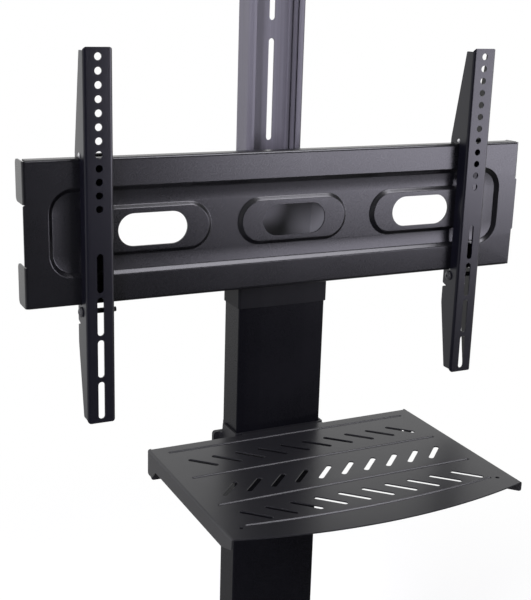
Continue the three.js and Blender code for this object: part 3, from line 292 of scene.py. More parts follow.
class Blank:
    """A sheet's outer face or a solid's skin, drawn in millimetres and laid by lay(u, v, depth)."""

    def __init__(self, lay):
        self.mesh = bmesh.new()
        self.lay = lay

    def loop(self, points, depth=0.0):
        return [self.mesh.verts.new(self.lay(u, v, depth)) for u, v in points]

    def points_at(self, places):
        """Points given by their places in space, and not by the drawing."""
        return [self.mesh.verts.new(place) for place in places]

    def skin(self, *rings, closed=True, lids=False):
        """Joins each ring to the next, and closes the first and the last where there are lids."""
        for first, second in zip(rings, rings[1:]):
            for n in range(0 if closed else 1, len(first)):
                self.mesh.faces.new([first[n - 1], first[n], second[n], second[n - 1]])
        if lids:
            self.mesh.faces.new(rings[0])
            self.mesh.faces.new(rings[-1])

    def fill(self, *rings):
        """Fills the first ring, round the holes that the other rings leave."""
        edges = []
        for ring in rings:
            for n, vert in enumerate(ring):
                pair = (ring[n - 1], vert)
                edges.append(self.mesh.edges.get(pair) or self.mesh.edges.new(pair))
        bmesh.ops.triangle_fill(self.mesh, use_beauty=True, use_dissolve=False, edges=edges)

    def press(self, outline, rise, from_depth, to_depth, width, steps=12, bend_share=0.25):
        """Draws the sheet from one depth to another down a straight wall with a bend at each end."""
        rings = []
        for k in range(steps + 1):
            share = k / steps
            near = min(share, 1 - share)
            if near < bend_share:
                blend = near ** 2 / (2 * bend_share * (1 - bend_share))
            else:
                blend = (near - bend_share / 2) / (1 - bend_share)
            if share > 0.5:
                blend = 1 - blend
            depth = from_depth + (to_depth - from_depth) * blend
            rings.append(self.loop(outline(rise * width * share), depth))
        self.skin(*rings)
        return rings[0], rings[-1]


def to_piece(name, blank, paint, body, node, gauge=0.0, outward=None, rounding=0.0,
             sharp=35, segments=2):
    """Turns a blank in millimetres into a piece that rides on a body and replaces a CAD node."""
    mesh = blank.mesh
    bmesh.ops.remove_doubles(mesh, verts=mesh.verts, dist=1e-4)
    bmesh.ops.recalc_face_normals(mesh, faces=mesh.faces)
    mesh.normal_update()
    if outward is not None:
        leaning = sum(face.normal.dot(outward) * face.calc_area() for face in mesh.faces)
        if leaning < 0:
            bmesh.ops.reverse_faces(mesh, faces=mesh.faces)
    bmesh.ops.scale(mesh, vec=(1 / metre, 1 / metre, 1 / metre), verts=mesh.verts)
    data = bpy.data.meshes.new(name)
    mesh.to_mesh(data)
    mesh.free()
    piece = bpy.data.objects.new(name, data)
    bpy.context.scene.collection.objects.link(piece)
    if gauge:
        solid = piece.modifiers.new("gauge", "SOLIDIFY")
        solid.thickness = gauge / metre
        solid.offset = -1
        solid.use_even_offset = True
        solid.use_quality_normals = True
    if rounding:
        bevel = piece.modifiers.new("edges", "BEVEL")
        bevel.width = rounding / metre
        bevel.segments = segments
        bevel.limit_method = "ANGLE"
        bevel.angle_limit = math.radians(sharp)
        bevel.use_clamp_overlap = True
        bevel.harden_normals = True
    shaded = bpy.context.evaluated_depsgraph_get()
    final = bpy.data.meshes.new_from_object(piece.evaluated_get(shaded))
    piece.modifiers.clear()
    piece.data = final
    final.shade_smooth()
    final.set_sharp_from_angle(angle=math.radians(sharp))
    final.materials.clear()
    final.materials.append(paint)
    flats = piece.modifiers.new("flats", "WEIGHTED_NORMAL")
    flats.keep_sharp = True
    flats.weight = 90
    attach(piece, body)
    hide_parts(node)


def drifting(paint, value, colour, drift):
    """A colour that drifts between a darker and a lighter shade with a noise's value."""
    spread = paint.node("ShaderNodeMapRange", None,
                        {"Value": value, "From Min": 0.35, "From Max": 0.65})
    return paint.mixed(spread, [*(c * (1 - drift) for c in colour), 1],
                       [*(c * (1 + drift) for c in colour), 1])


def powder_coat(name, colour, rough, gloss=0.5, grain=0.5, grain_size=1400, drift=0.12, metal=0.0,
                bump=0.12, rough_drift=0.08):
    """A painted, plated or moulded finish: fine orange-peel grain and soft unevenness."""
    material = bpy.data.materials.new(name)
    paint = Paint(material)
    place = paint.node("ShaderNodeTexCoord", output="Object")
    broad = paint.node("ShaderNodeTexNoise", None, {"Vector": place, "Scale": 9.0, "Detail": 3.0})
    fine = paint.node("ShaderNodeTexNoise", None, {"Vector": place, "Scale": grain_size, "Detail": 2.0})
    raised = paint.node("ShaderNodeBump", None,
                        {"Strength": bump, "Distance": 0.0002 * grain, "Height": fine})
    shader = paint.node("ShaderNodeBsdfPrincipled", None, {
        "Base Color": drifting(paint, broad * 0.7 + fine * 0.3, colour, drift),
        "Roughness": rough - rough_drift / 2 + rough_drift * broad + (fine - 0.5) * 0.1,
        "Metallic": metal,
        "Specular IOR Level": gloss,
        "Normal": raised,
    })
    paint.node("ShaderNodeOutputMaterial", None, {"Surface": shader})
    return material


plate_low, plate_high = box_mm("wall_plate")
plate_front = plate_low.y
plate_middle = (plate_low.z + plate_high.z) / 2
plate_half_length = plate_high.x
plate_half_height = plate_high.z - plate_middle
plate_gauge = 2.0
plate_bend = 3.5
plate_flange = 15.0
plate_edge = 0.35
rim_lean = 0.5
tab_depth = 31.0
tab_height = 48.0
tab_corner = 6.0
tab_relief = 4.0
tab_inset = 1.0
tab_slit = 0.6
relief_slant = 0.3
strip_corner = 1.5
panel_half = (303.0, 51.5)
panel_corner = 29.0
panel_depth = 4.0
panel_wall = 6.5
panel_sag = 0.7
panel_slope = 14.0
dish_steps = 7
boss_half = (74.0, 29.5)
boss_pitch = 181.0
boss_wall = 5.5
boss_depth = 0.2
window_half = (42.0, 19.0)

plate_coat = powder_coat("plate_powder_coat", (0.0018, 0.0018, 0.0024), 0.28)

plate = Blank(lambda u, v, depth: (u, plate_front + depth, plate_middle + v))
flat_top = plate_half_height - plate_bend
channel_end = plate_half_length - tab_relief
tab_root = plate_half_length - plate_bend
tab_outer = plate_half_height - tab_inset
tab_inner = plate_half_height - tab_height
strip_end = tab_inner - tab_slit
rounds = [inset for inset, drop in arc(tab_corner, bend_steps)]
tab_rows = [tab_inner + r for r in rounds] + [tab_outer - r for r in reversed(rounds)]
right_side = [
    (channel_end, -flat_top),
    (channel_end + relief_slant, -tab_outer),
    *((tab_root, -z) for z in reversed(tab_rows)),
    (plate_half_length - strip_corner, -strip_end),
    (plate_half_length, -strip_end + strip_corner),
    (plate_half_length, strip_end - strip_corner),
    (plate_half_length - strip_corner, strip_end),
    *((tab_root, z) for z in tab_rows),
    (channel_end + relief_slant, tab_outer),
    (channel_end, flat_top),
]
left_side = [(-u, v) for u, v in reversed(right_side)]
outline = plate.loop(right_side + left_side)
for vert in outline:
    above_panel = max(abs(vert.co.z - plate_middle) - panel_half[1], 0)
    vert.co.y += rim_lean * above_panel / (flat_top - panel_half[1])


def oval(middle, half, radius, offset=0.0):
    """A round-cornered outline, drawn in by an offset."""
    return rounded_loop(middle, half[0] - offset, half[1] - offset, radius - offset, oval_steps)


def panel_outline(offset):
    return oval((0, 0), panel_half, panel_corner, offset)


panel_edge, panel_floor = plate.press(panel_outline, 1, 0, panel_depth, panel_wall)
plate.fill(outline, panel_edge)
dish_edges = [
    plate.loop(panel_outline(panel_wall + panel_slope * share),
               panel_depth + panel_sag * math.sin(math.pi / 2 * share))
    for share in ((n + 1) / dish_steps for n in range(dish_steps))
]
boss_edges = []
for n in (-1, 0, 1):
    middle = (n * boss_pitch, 0)

    def boss_outline(offset, middle=middle):
        return oval(middle, boss_half, boss_half[1], offset)

    boss_edge, boss_top = plate.press(boss_outline, 1, panel_depth + panel_sag, boss_depth, boss_wall)
    plate.fill(boss_top, plate.loop(oval(middle, window_half, window_half[1]), boss_depth))
    boss_edges.append(boss_edge)
plate.skin(panel_floor, *dish_edges)
plate.fill(dish_edges[-1], *boss_edges)


def flange(root, upward):
    """Bends the plate's top or bottom edge back through a right angle and runs it on."""
    rings = [plate.points_at(v.co + Vector((0, back, upward * out)) for v in root)
             for out, back in bend(plate_bend)]
    rear = plate.points_at((v.co.x, plate_front + plate_flange, v.co.z) for v in rings[-1])
    plate.skin(root, *rings, rear, closed=False)


def end_tab(root, side):
    """A tab bent back at one end of the plate, with rounded rear corners."""
    low, high = sorted((root[0].co.z, root[-1].co.z))
    rings = [plate.points_at((side * (tab_root + out), v.co.y + back, v.co.z) for v in root)
             for out, back in bend(plate_bend)]
    rear = plate.points_at(
        (side * plate_half_length,
         plate_front + tab_depth - corner_cut(v.co.z - (low + high) / 2, (high - low) / 2, tab_corner),
         v.co.z)
        for v in root)
    plate.skin(root, *rings, rear, closed=False)


count = len(right_side)
flange([outline[count - 1], outline[count]], 1)
flange([outline[2 * count - 1], outline[0]], -1)
rows = len(tab_rows)
for start in (2, rows + 6):
    end_tab(outline[start:start + rows], 1)
    opposite = 2 * count - start
    end_tab(outline[opposite - rows:opposite], -1)

to_piece("plate_pressing", plate, plate_coat, "mount", "wall_plate",
         gauge=plate_gauge, outward=forward, rounding=plate_edge)

# Mount bracket
# A hat of 3 mm sheet behind the plate's middle, finished in a light metallic grey that is painted light:
# the grey stands in for the light that falls on it through the plate's middle window. A black clamp
# plate behind the mast's front rails and two black zinc-plated bolts hold it to the mast.
bracket_edge = 0.4
bolt_radius = 4.0
hole_clearance = 0.2
bolt_hole = bolt_radius + hole_clearance
thread_gap = 0.05
nut_end = 0.5


def laid(place, along="Z", sign=1):
    """Lays a drawing's two axes across, and its depth along, one of the axes of space."""
    x, y, z = place
    if along == "X":
        return lambda u, v, depth: (x + sign * depth, y + u, z + v)
    if along == "Y":
        return lambda u, v, depth: (x + u, y + sign * depth, z + v)
    return lambda u, v, depth: (x + u, y + v, z + sign * depth)


def softened(points, radius, steps=3, closed=True):
    """The same line with its corners rounded off, and its ends kept where it is open."""
    curved = []
    for n, point in enumerate(points):
        if not closed and n in (0, len(points) - 1):
            curved.append(tuple(point))
            continue
        corner = Vector(point)
        before = Vector(points[n - 1]) - corner
        after = Vector(points[(n + 1) % len(points)]) - corner
        reach = min(radius, before.length * 0.45, after.length * 0.45)
        start = corner + before.normalized() * reach
        end = corner + after.normalized() * reach
        for k in range(steps + 1):
            share = k / steps
            near, far = start.lerp(corner, share), corner.lerp(end, share)
            curved.append(tuple(near.lerp(far, share)))
    return without_repeats(curved)


def ring(middle, radius, steps=24):
    angles = [2 * math.pi * k / steps for k in range(steps)]
    return [(middle[0] + radius * math.cos(a), middle[1] + radius * math.sin(a)) for a in angles]


def folded(blank, line, low, high, holes=()):
    """Sheet that follows a line seen from above, with holes in its longest flat length."""
    pairs = [blank.loop([point], low) + blank.loop([point], high) for point in line]
    lengths = [math.dist(a, b) for a, b in zip(line, line[1:])]
    longest = lengths.index(max(lengths))
    for n, (first, second) in enumerate(zip(pairs, pairs[1:])):
        if n == longest and holes:
            blank.fill([first[0], second[0], second[1], first[1]], *holes)
        else:
            blank.skin(first, second, closed=False)


def block(blank, outline, low, high, holes=()):
    """Closed solid between two depths of an outline, with holes right through it."""
    lower = [blank.loop(points, low) for points in (outline, *holes)]
    upper = [blank.loop(points, high) for points in (outline, *holes)]
    blank.fill(*lower)
    blank.fill(*upper)
    for first, second in zip(lower, upper):
        blank.skin(first, second)


def turn(blank, profile, steps=32):
    """Surface turned about the depth axis from points of radius and depth."""
    rings = [blank.loop(ring((0, 0), radius, steps) if radius else [(0, 0)], depth)
             for radius, depth in profile]
    for first, second in zip(rings, rings[1:]):
        tip, rim = sorted((first, second), key=len)
        if len(tip) == 1:
            for n, vert in enumerate(rim):
                blank.mesh.faces.new([rim[n - 1], vert, tip[0]])
        else:
            blank.skin(first, second)


def both_sides(profile):
    """A turned section that is the same on both sides of its middle."""
    return [*profile, *((radius, -depth) for radius, depth in reversed(profile))]


def hex_block(blank, radius, low, high, bore=0.0, steps=24, chamfer=0.15, chamfer_slope=0.58, crown=0.25):
    """Bolt head or nut whose upper corners are turned off, with a bore if it is a nut."""
    flat = radius * math.cos(math.pi / 6)
    outline = []
    for k in range(steps):
        angle = 2 * math.pi * k / steps
        size = flat / math.cos(angle % (math.pi / 3) - math.pi / 6)
        outline.append((size * math.cos(angle), size * math.sin(angle)))
    up = math.copysign(1, high - low)
    foot = blank.loop(outline, low)
    brow = blank.points_at(
        blank.lay(u, v, high - up * (chamfer + (math.hypot(u, v) - flat) * chamfer_slope))
        for u, v in outline)
    top = blank.loop(ring((0, 0), flat - crown, steps), high)
    blank.skin(foot, brow, top, lids=not bore)
    if bore:
        lower, upper = (blank.loop(ring((0, 0), bore, steps), depth) for depth in (low, high))
        blank.fill(foot, lower)
        blank.fill(top, upper)
        blank.skin(lower, upper)


def threaded(blank, radius, low, high, pitch=1.25, steps=24, levels_per_turn=6, tip_share=0.35):
    """Threaded end of a shank: one helical groove that runs out at its chamfered tip."""
    turns = abs(high - low) / pitch
    levels = max(int(turns * levels_per_turn), 4)
    rings = []
    for level in range(levels + 1):
        points = []
        for k in range(steps):
            phase = (turns * level / levels - k / steps) % 1
            size = radius - pitch / 2 * (1 - abs(2 * phase - 1))
            size = min(size, radius - tip_share * pitch) if level == levels else size
            angle = 2 * math.pi * k / steps
            points.append((size * math.cos(angle), size * math.sin(angle)))
        rings.append(blank.loop(points, low + (high - low) * level / levels))
    blank.skin(*rings, lids=True)


def hex_bolt(name, node, body, along, sign=1, radius=bolt_radius, head_radius=7.2, head=5.3):
    """Bolt with a head at its near end and a nut at its far end, where the CAD bolt is."""
    low, high = box_mm(node)
    axis = "XYZ".index(along)
    place = (low + high) / 2
    place[axis] = low[axis] + head if sign > 0 else high[axis] - head
    grip = high[axis] - low[axis] - 2 * head - radius / 2
    shank = radius - thread_gap
    bolt = Blank(laid(place, along, sign))
    hex_block(bolt, head_radius, 0, -head)
    hex_block(bolt, head_radius, grip, grip + head, bore=radius)
    block(bolt, ring((0, 0), shank), 0, grip + head - nut_end)
    threaded(bolt, shank, grip + head - nut_end, grip + head + radius / 2)
    to_piece(name, bolt, black_zinc, body, node, sharp=30)


frame_coat = powder_coat("frame_powder_coat", (0.006, 0.006, 0.007), 0.44, 0.3)
black_zinc = powder_coat("black_zinc", (0.050, 0.050, 0.052), 0.34, grain=0.2, metal=0.7, bump=0.05,
                         rough_drift=0.14)
# Painted light: a light metallic grey for the bracket's hat, standing in for the light that reaches it
# through the plate's middle window.
painted_window_light_grey = powder_coat("painted_window_light_grey", (0.11, 0.11, 0.116), 0.4, grain=0.2, metal=0.3, bump=0.05,
                        rough_drift=0.12)

bracket_low, bracket_high = box_mm("mount_bracket")
bracket_gauge = 3.0
bracket_web = 55.7
bracket_fold = 4.0
clamp_corner = 3.6
bolt_heights = [(low.z + high.z) / 2
                for low, high in map(box_mm, ("mount_clamp_bolt_upper", "mount_clamp_bolt_lower"))]
lip_y = bracket_low.y + bracket_gauge
hat_line = softened([
    (bracket_low.x, lip_y), (-bracket_web, lip_y), (-bracket_web, bracket_high.y),
    (bracket_web, bracket_high.y), (bracket_web, lip_y), (bracket_high.x, lip_y),
], bracket_fold, 5, closed=False)
hat = Blank(laid((0, bracket_high.y, 0), "Y"))
hat_holes = [hat.loop(ring((0, z), bolt_hole)) for z in bolt_heights]
hat.lay = laid((0, 0, 0))
folded(hat, hat_line, bracket_low.z, bracket_high.z, hat_holes)
to_piece("mount_bracket_hat", hat, painted_window_light_grey, "mount", "mount_bracket",
         gauge=bracket_gauge, outward=-forward, rounding=bracket_edge)

clamp_low, clamp_high = box_mm("mount_clamp_plate")
clamp_middle = (clamp_low + clamp_high) / 2
clamp_half = (clamp_high - clamp_low) / 2
clamp = Blank(laid((0, 0, 0), "Y"))
clamp_line = rounded_loop((clamp_middle.x, clamp_middle.z), clamp_half.x, clamp_half.z, clamp_corner)
block(clamp, clamp_line, clamp_low.y, clamp_high.y, [ring((0, z), bolt_hole) for z in bolt_heights])
to_piece("mount_clamp_bar", clamp, frame_coat, "mount", "mount_clamp_plate",
         rounding=bracket_edge)
for place in ("upper", "lower"):
    hex_bolt(f"mount_bolt_{place}", f"mount_clamp_bolt_{place}", "mount", "Y")

# TV arms
# Two channels of 2 mm sheet that hook over the plate's top edge and taper to both ends. Their
# fronts carry twelve round holes and four long slots. A riveted pin hangs each arm on the
# plate's top, and a black screw and nut under its bottom edge stop the arm lifting off.
seat_gap = 0.3
arm_low, arm_high = box_mm("arm_left")
arm_front = arm_low.y
arm_half = (arm_high.x - arm_low.x) / 2
arm_gauge = 2.0
arm_bend = 3.5
arm_corner = 4.0
arm_fillet = 1.6
arm_edge = 0.3
arm_end_depth = 15.0
arm_ear_depth = 31.5
arm_hook_depth = arm_high.y - arm_low.y
arm_taper_z = plate_middle - 130.0
arm_ear_height = 20.0
arm_notch = (5.0, 8.0)
arm_hook_drop = 7.0
arm_hook_rise = 5.0
arm_holes = 12
arm_hole_radius = 4.1
arm_hole_pitch = 14.9
arm_first_hole = 9.8
arm_slots = 4
arm_slot_size = (45.0, 7.6)
arm_slot_pitch = 50.0
arm_last_slot = 27.2
pin_low, pin_high = box_mm("arm_hook_pin_left")
screw_low, screw_high = box_mm("arm_lock_screw_left")
pin_middle = (pin_low + pin_high) / 2
screw_middle = (screw_low + screw_high) / 2
pin_radius = 2.2
pin_head = 1.0
lock_screw_radius = 3.0
lock_screw_pitch = 1.0
pan_radius = 6.0
pan_height = 3.4
pan_edge = 0.3
pan_rim = 0.9
pan_socket = (2.1, 1.8)

arm_coat = powder_coat("arm_powder_coat", (0.0022, 0.0022, 0.0038), 0.30, 0.4)
bright_zinc = powder_coat("bright_zinc", (0.55, 0.55, 0.56), 0.26, grain=0.2, metal=0.95, bump=0.04,
                          drift=0.05, rough_drift=0.12)


def arm_side_line():
    """Rear edge of an arm's side in Y and Z, from the front bend's lower to its upper end."""
    hook_y = plate_front + plate_flange + seat_gap
    hook_top = plate_high.z + seat_gap
    hook_tip = plate_high.z - arm_hook_drop
    hook_back = arm_front + arm_hook_depth
    ear_y = arm_front + arm_ear_depth
    ear_top = plate_low.z - seat_gap
    ear_bottom = ear_top - arm_ear_height
    notch_bottom = ear_bottom - arm_notch[0]
    slope = (arm_ear_depth - arm_end_depth) / (arm_taper_z - arm_low.z) * arm_corner
    end_y = arm_front + arm_end_depth + slope
    bottom, top = arm_low.z + arm_corner, arm_high.z - arm_corner
    return softened([
        (arm_front + arm_bend, bottom), (end_y, bottom),
        (ear_y, arm_taper_z),
        (ear_y, notch_bottom), (ear_y - arm_notch[1], (notch_bottom + ear_bottom) / 2), (ear_y, ear_bottom),
        (ear_y, ear_top), (plate_front - seat_gap, ear_top),
        (plate_front - seat_gap, hook_top), (hook_y, hook_top),
        (hook_y, hook_tip), (hook_back, hook_tip), (hook_back, hook_top + arm_hook_rise),
        (end_y, top), (arm_front + arm_bend, top),
    ], arm_fillet, 3, closed=False)


def arm_channel(name, node, body, x):
    arm = Blank(lambda u, v, depth: (x + u, arm_front + depth, v))
    flat = arm_half - arm_bend

    def ends(u, side, depth=0.0):
        short = corner_cut(u, arm_half, arm_corner)
        return arm.loop([(side * u, arm_low.z + short), (side * u, arm_high.z - short)], depth)

    sides = {side: ends(flat, side) for side in (1, -1)}
    openings = [ring((0, arm_high.z - arm_first_hole - n * arm_hole_pitch), arm_hole_radius)
                for n in range(arm_holes)]
    openings += [slot_loop((0, arm_low.z + arm_last_slot + n * arm_slot_pitch), *arm_slot_size, math.pi / 2)
                 for n in range(arm_slots)]
    front = [sides[-1][0], sides[1][0], sides[1][1], sides[-1][1]]
    arm.fill(front, *(arm.loop(opening) for opening in openings))
    for side, root in sides.items():
        bent = [ends(flat + out, side, back) for out, back in bend(arm_bend)]
        arm.skin(root, *bent, closed=False)

        def on_side(points, side=side):
            return arm.points_at((x + side * arm_half, y, z) for y, z in points)

        rear = on_side(arm_side_line()[1:-1])
        pin_hole = on_side(ring((pin_middle.y, pin_middle.z), pin_radius + hole_clearance, 20))
        screw_hole = on_side(
            ring((screw_middle.y, screw_middle.z), lock_screw_radius + hole_clearance, 20))
        arm.fill([bent[-1][0], *rear, bent[-1][1]], pin_hole, screw_hole)
    to_piece(name, arm, arm_coat, body, node, gauge=arm_gauge, outward=forward,
             rounding=arm_edge)


def dome(radius, height, rise, steps=6, sweep=math.pi * 3 / 8):
    """Radius and depth up a domed head, from its rim to the edge of its flat middle."""
    return [(radius * math.cos(sweep * k / steps),
             height + rise * math.sin(sweep * k / steps) / math.sin(sweep))
            for k in range(steps + 1)]


def socket_head(blank, profile, socket, depth):
    """Closes a head's profile with a flat top that holds a hexagonal socket."""
    turn(blank, profile)
    size, level = profile[-1]
    top = blank.loop(ring((0, 0), size, 32), level)
    mouth, floor = (blank.loop(ring((0, 0), socket, 6), place) for place in (level, level - depth))
    blank.fill(top, mouth)
    blank.skin(mouth, floor)
    blank.mesh.faces.new(floor)


for side, sign in (("left", -1), ("right", 1)):
    arm_x = sign * abs(arm_low.x + arm_high.x) / 2
    body = f"{side}_arm"
    arm_channel(f"arm_channel_{side}", f"arm_{side}", body, arm_x)

    pin = Blank(laid((arm_x, pin_middle.y, pin_middle.z), "X"))
    reach = (pin_high.x - pin_low.x) / 2
    rivet = [(0, reach), *reversed(dome(pin_radius + pin_head, reach - pin_head, pin_head))]
    turn(pin, both_sides([*rivet, (pin_radius, reach - pin_head)]))
    to_piece(f"hook_pin_{side}", pin, bright_zinc, body, f"arm_hook_pin_{side}")

    grip = arm_half + seat_gap
    shank_end = -grip - pan_height
    screw = Blank(laid((arm_x, screw_middle.y, screw_middle.z), "X", -1))
    head = [(lock_screw_radius, grip), (pan_radius - pan_edge, grip), (pan_radius, grip + pan_edge),
            *dome(pan_radius, grip + pan_rim, pan_height - pan_rim)]
    socket_head(screw, head, *pan_socket)
    turn(screw, [(lock_screw_radius, grip), (lock_screw_radius, shank_end), (0, shank_end)])
    threaded(screw, lock_screw_radius, shank_end, shank_end - pan_height, lock_screw_pitch)
    to_piece(f"lock_screw_{side}", screw, black_zinc, body,
             f"arm_lock_screw_{side}", sharp=30)
    nut = Blank(laid((arm_x, screw_middle.y, screw_middle.z), "X"))
    hex_block(nut, pan_radius, grip, grip + pan_height, bore=lock_screw_radius + hole_clearance)
    to_piece(f"lock_nut_{side}", nut, black_zinc, body, f"arm_lock_nut_{side}",
             sharp=30)

# Mast
# Upper column: one dark anodised aluminium extrusion with an H section. Its round-cornered rails
# are hooked, low ribs stand beside the slotted web, and faint die lines run along it.
mast_low, mast_high = box_mm("mast")
mast_middle_y = (mast_low.y + mast_high.y) / 2
mast_half = (mast_high.x, (mast_high.y - mast_low.y) / 2)
mast_wall = 3.0
mast_web = 1.5
mast_lip = (9.0, 2.5)
mast_ribs = ((29.4, 2.8, 6.5), (21.2, 4.6, 3.0))
mast_corner = 5.0
mast_slot_size = (124.2, 8.0)
mast_slot_pitch = 145.5
mast_first_slot = 83.1
mast_slots = 6
mast_chamfer = 0.5
mast_edge = 0.25


def anodised(name, colour, rough, metal, drift=0.18, rough_drift=0.16):
    """Black anodised extrusion: fine lines from the die run the length of the piece."""
    material = bpy.data.materials.new(name)
    paint = Paint(material)
    place = paint.node("ShaderNodeTexCoord", output="Object")

    def streaks(scale, detail):
        drawn = paint.node("ShaderNodeVectorMath", {"operation": "MULTIPLY"}, {0: place, 1: scale})
        return paint.node("ShaderNodeTexNoise", None, {"Vector": drawn, "Scale": 1.0, "Detail": detail})

    lines = streaks((900, 900, 3), 2.0)
    bands = streaks((60, 60, 1.5), 1.0)
    cloud = paint.node("ShaderNodeTexNoise", None, {"Vector": place, "Scale": 6.0, "Detail": 3.0})
    raised = paint.node("ShaderNodeBump", None, {"Strength": 0.08, "Distance": 0.0001, "Height": lines})
    shader = paint.node("ShaderNodeBsdfPrincipled", None, {
        "Base Color": drifting(paint, lines * 0.5 + bands * 0.3 + cloud * 0.2, colour, drift),
        "Roughness": rough - rough_drift / 2 + bands * rough_drift,
        "Metallic": metal,
        "Normal": raised,
    })
    paint.node("ShaderNodeOutputMaterial", None, {"Surface": shader})
    return material


mast_finish = anodised("mast_anodised", (0.070, 0.067, 0.080), 0.5, 0.25)
moulded_black = powder_coat("moulded_nylon", (0.0035, 0.0035, 0.0042), 0.5, 0.12, grain=0.8,
                            grain_size=2200, bump=0.16)

half_x, half_y = mast_half
lip_x = half_x - mast_lip[0]
lip_y = half_y - mast_lip[1]
quarter = [(half_x - inset, half_y - drop) for inset, drop in arc(mast_corner, 6)]
quarter += [(lip_x, half_y), (lip_x, lip_y), (half_x - mast_wall, lip_y), (half_x - mast_wall, mast_web)]
for inside, gauge, height in mast_ribs:
    outside, crest = inside + gauge, mast_web + height
    quarter += [(outside, mast_web), (outside, crest), (inside, crest), (inside, mast_web)]
section = []
for sign_x, sign_y in ((1, 1), (-1, 1), (-1, -1), (1, -1)):
    part = [(sign_x * x, mast_middle_y + sign_y * y) for x, y in quarter]
    section += part if sign_x == sign_y else reversed(part)
section = softened(section, mast_chamfer, 1)
mast = Blank(laid((0, 0, 0)))
mast_slot_loops = [
    slot_loop((0, mast_high.z - mast_first_slot - n * mast_slot_pitch), *mast_slot_size, math.pi / 2)
    for n in range(mast_slots)
]
slot_faces = {}
for side in (-1, 1):
    mast.lay = laid((0, mast_middle_y + side * mast_web, 0), "Y")
    slot_faces[side] = [mast.loop(points) for points in mast_slot_loops]
for front, back in zip(slot_faces[-1], slot_faces[1]):
    mast.skin(front, back)
mast.lay = laid((0, 0, 0))
foot_ring, top_ring = mast.loop(section, mast_low.z), mast.loop(section, mast_high.z)
for n, (x, y) in enumerate(section):
    before = section[n - 1]
    sides = [foot_ring[n - 1], foot_ring[n], top_ring[n], top_ring[n - 1]]
    if before[0] * x < 0:
        mast.fill(sides, *slot_faces[1 if y > mast_middle_y else -1])
    else:
        mast.mesh.faces.new(sides)
mast.fill(foot_ring)
mast.fill(top_ring)
to_piece("mast_extrusion", mast, mast_finish, "mast", "mast", rounding=mast_edge,
         sharp=50, segments=1)


def crowned(blank, middle, half, radius, levels):
    """Closed solid of a round-cornered outline, drawn in by the inset of each of its levels."""
    blank.skin(*(
        blank.loop(rounded_loop(middle, half[0] - inset, half[1] - inset, radius - inset), depth)
        for inset, depth in levels
    ), lids=True)


cap_low, cap_high = box_mm("mast_cap")
cap_thickness = 4.0
cap_overlap = 1.0
cap_corner = mast_corner + cap_overlap
plug_depth = 9.7
plug_corner = 0.8
plug_root = 0.5
plug_half = mast_ribs[-1][0] - seat_gap
cap_middle = (0, mast_middle_y)
cap_half = (cap_high.x, (cap_high.y - cap_low.y) / 2)
cap_seat = cap_high.z - cap_thickness
cap_arc = arc(cap_overlap, 6)
cap_levels = [(inset, cap_seat + drop) for inset, drop in reversed(cap_arc)]
cap_levels += [(inset, cap_high.z - drop) for inset, drop in cap_arc]
cap = Blank(laid((0, 0, 0)))
crowned(cap, cap_middle, cap_half, cap_corner, cap_levels)
for side in (-1, 1):
    middle = (0, mast_middle_y + side * (mast_web + seat_gap + plug_depth / 2))
    plug = rounded_loop(middle, plug_half, plug_depth / 2, plug_corner, 3)
    block(cap, plug, cap_low.z, cap_seat + plug_root)
to_piece("mast_end_cap", cap, moulded_black, "mast", "mast_cap")

# Lower column
# A steel guide tube in which the mast slides, behind a wide and slightly bowed front cover of
# smooth black sheet. A moulded collar caps both, and two screws clamp the mast from behind.
skyward = Vector((0, 0, 1))
tube_low, tube_high = box_mm("lower_column")
tube_middle = (tube_low + tube_high) / 2
tube_half = (tube_high - tube_low) / 2
tube_wall = 3.0
tube_corner = 4.0
tube_edge = 0.3


def square_tube(blank, half_width, half_height, radius, low, high, holes=()):
    """Outer face of a tube along the depth axis. Each hole is its side, counted from the right
    round by the top, its place across and along that side, and its radius."""
    lay = blank.lay
    flats = (
        (half_height - radius, lambda s, t, depth: lay(half_width, s, t)),
        (half_width - radius, lambda s, t, depth: lay(-s, half_height, t)),
        (half_height - radius, lambda s, t, depth: lay(-half_width, -s, t)),
        (half_width - radius, lambda s, t, depth: lay(s, -half_height, t)),
    )
    for side, (reach, side_lay) in enumerate(flats):
        blank.lay = side_lay
        outline = blank.loop([(-reach, low), (reach, low), (reach, high), (-reach, high)])
        rims = [blank.loop(ring(place, size, 20)) for where, *place, size in holes if where == side]
        blank.fill(outline, *rims)
    blank.lay = lay
    for n in range(4):
        middle_u = (half_width - radius) * (1 if n in (0, 3) else -1)
        middle_v = (half_height - radius) * (1 if n in (0, 1) else -1)
        edges = []
        for k in range(bend_steps + 1):
            angle = math.pi / 2 * (n + k / bend_steps)
            point = [(middle_u + radius * math.cos(angle), middle_v + radius * math.sin(angle))]
            edges.append(blank.loop(point, low) + blank.loop(point, high))
        blank.skin(*edges, closed=False)


clamp_screws = {side: box_mm(f"column_lock_screw_{side}") for side in ("left", "right")}
foot_bolts = {place: box_mm(f"foot_bolt_{place}") for place in ("lower", "upper")}
tube_holes = [(1, -(low.x + high.x) / 2, (low.z + high.z) / 2, bolt_hole)
              for low, high in clamp_screws.values()]
tube_holes += [(where, 0, (low.z + high.z) / 2, bolt_hole)
               for low, high in foot_bolts.values() for where in (0, 2)]
tube = Blank(laid((0, tube_middle.y, 0)))
square_tube(tube, tube_half.x, tube_half.y, tube_corner, tube_low.z, tube_high.z, tube_holes)
to_piece("guide_tube", tube, frame_coat, "base", "lower_column",
         gauge=tube_wall, rounding=tube_edge)

cover_low, cover_high = box_mm("column_cover")
cover_wall = 2.0
cover_half = cover_high.x
cover_flat = 30.0
cover_shoulder = (49.0, 0.9)
cover_edge = (58.2, 1.8)
cover_edge_growth = 0.6
cover_side_start = 1.5
cover_fillet = 1.6
cover_return = tube_half.x + seat_gap


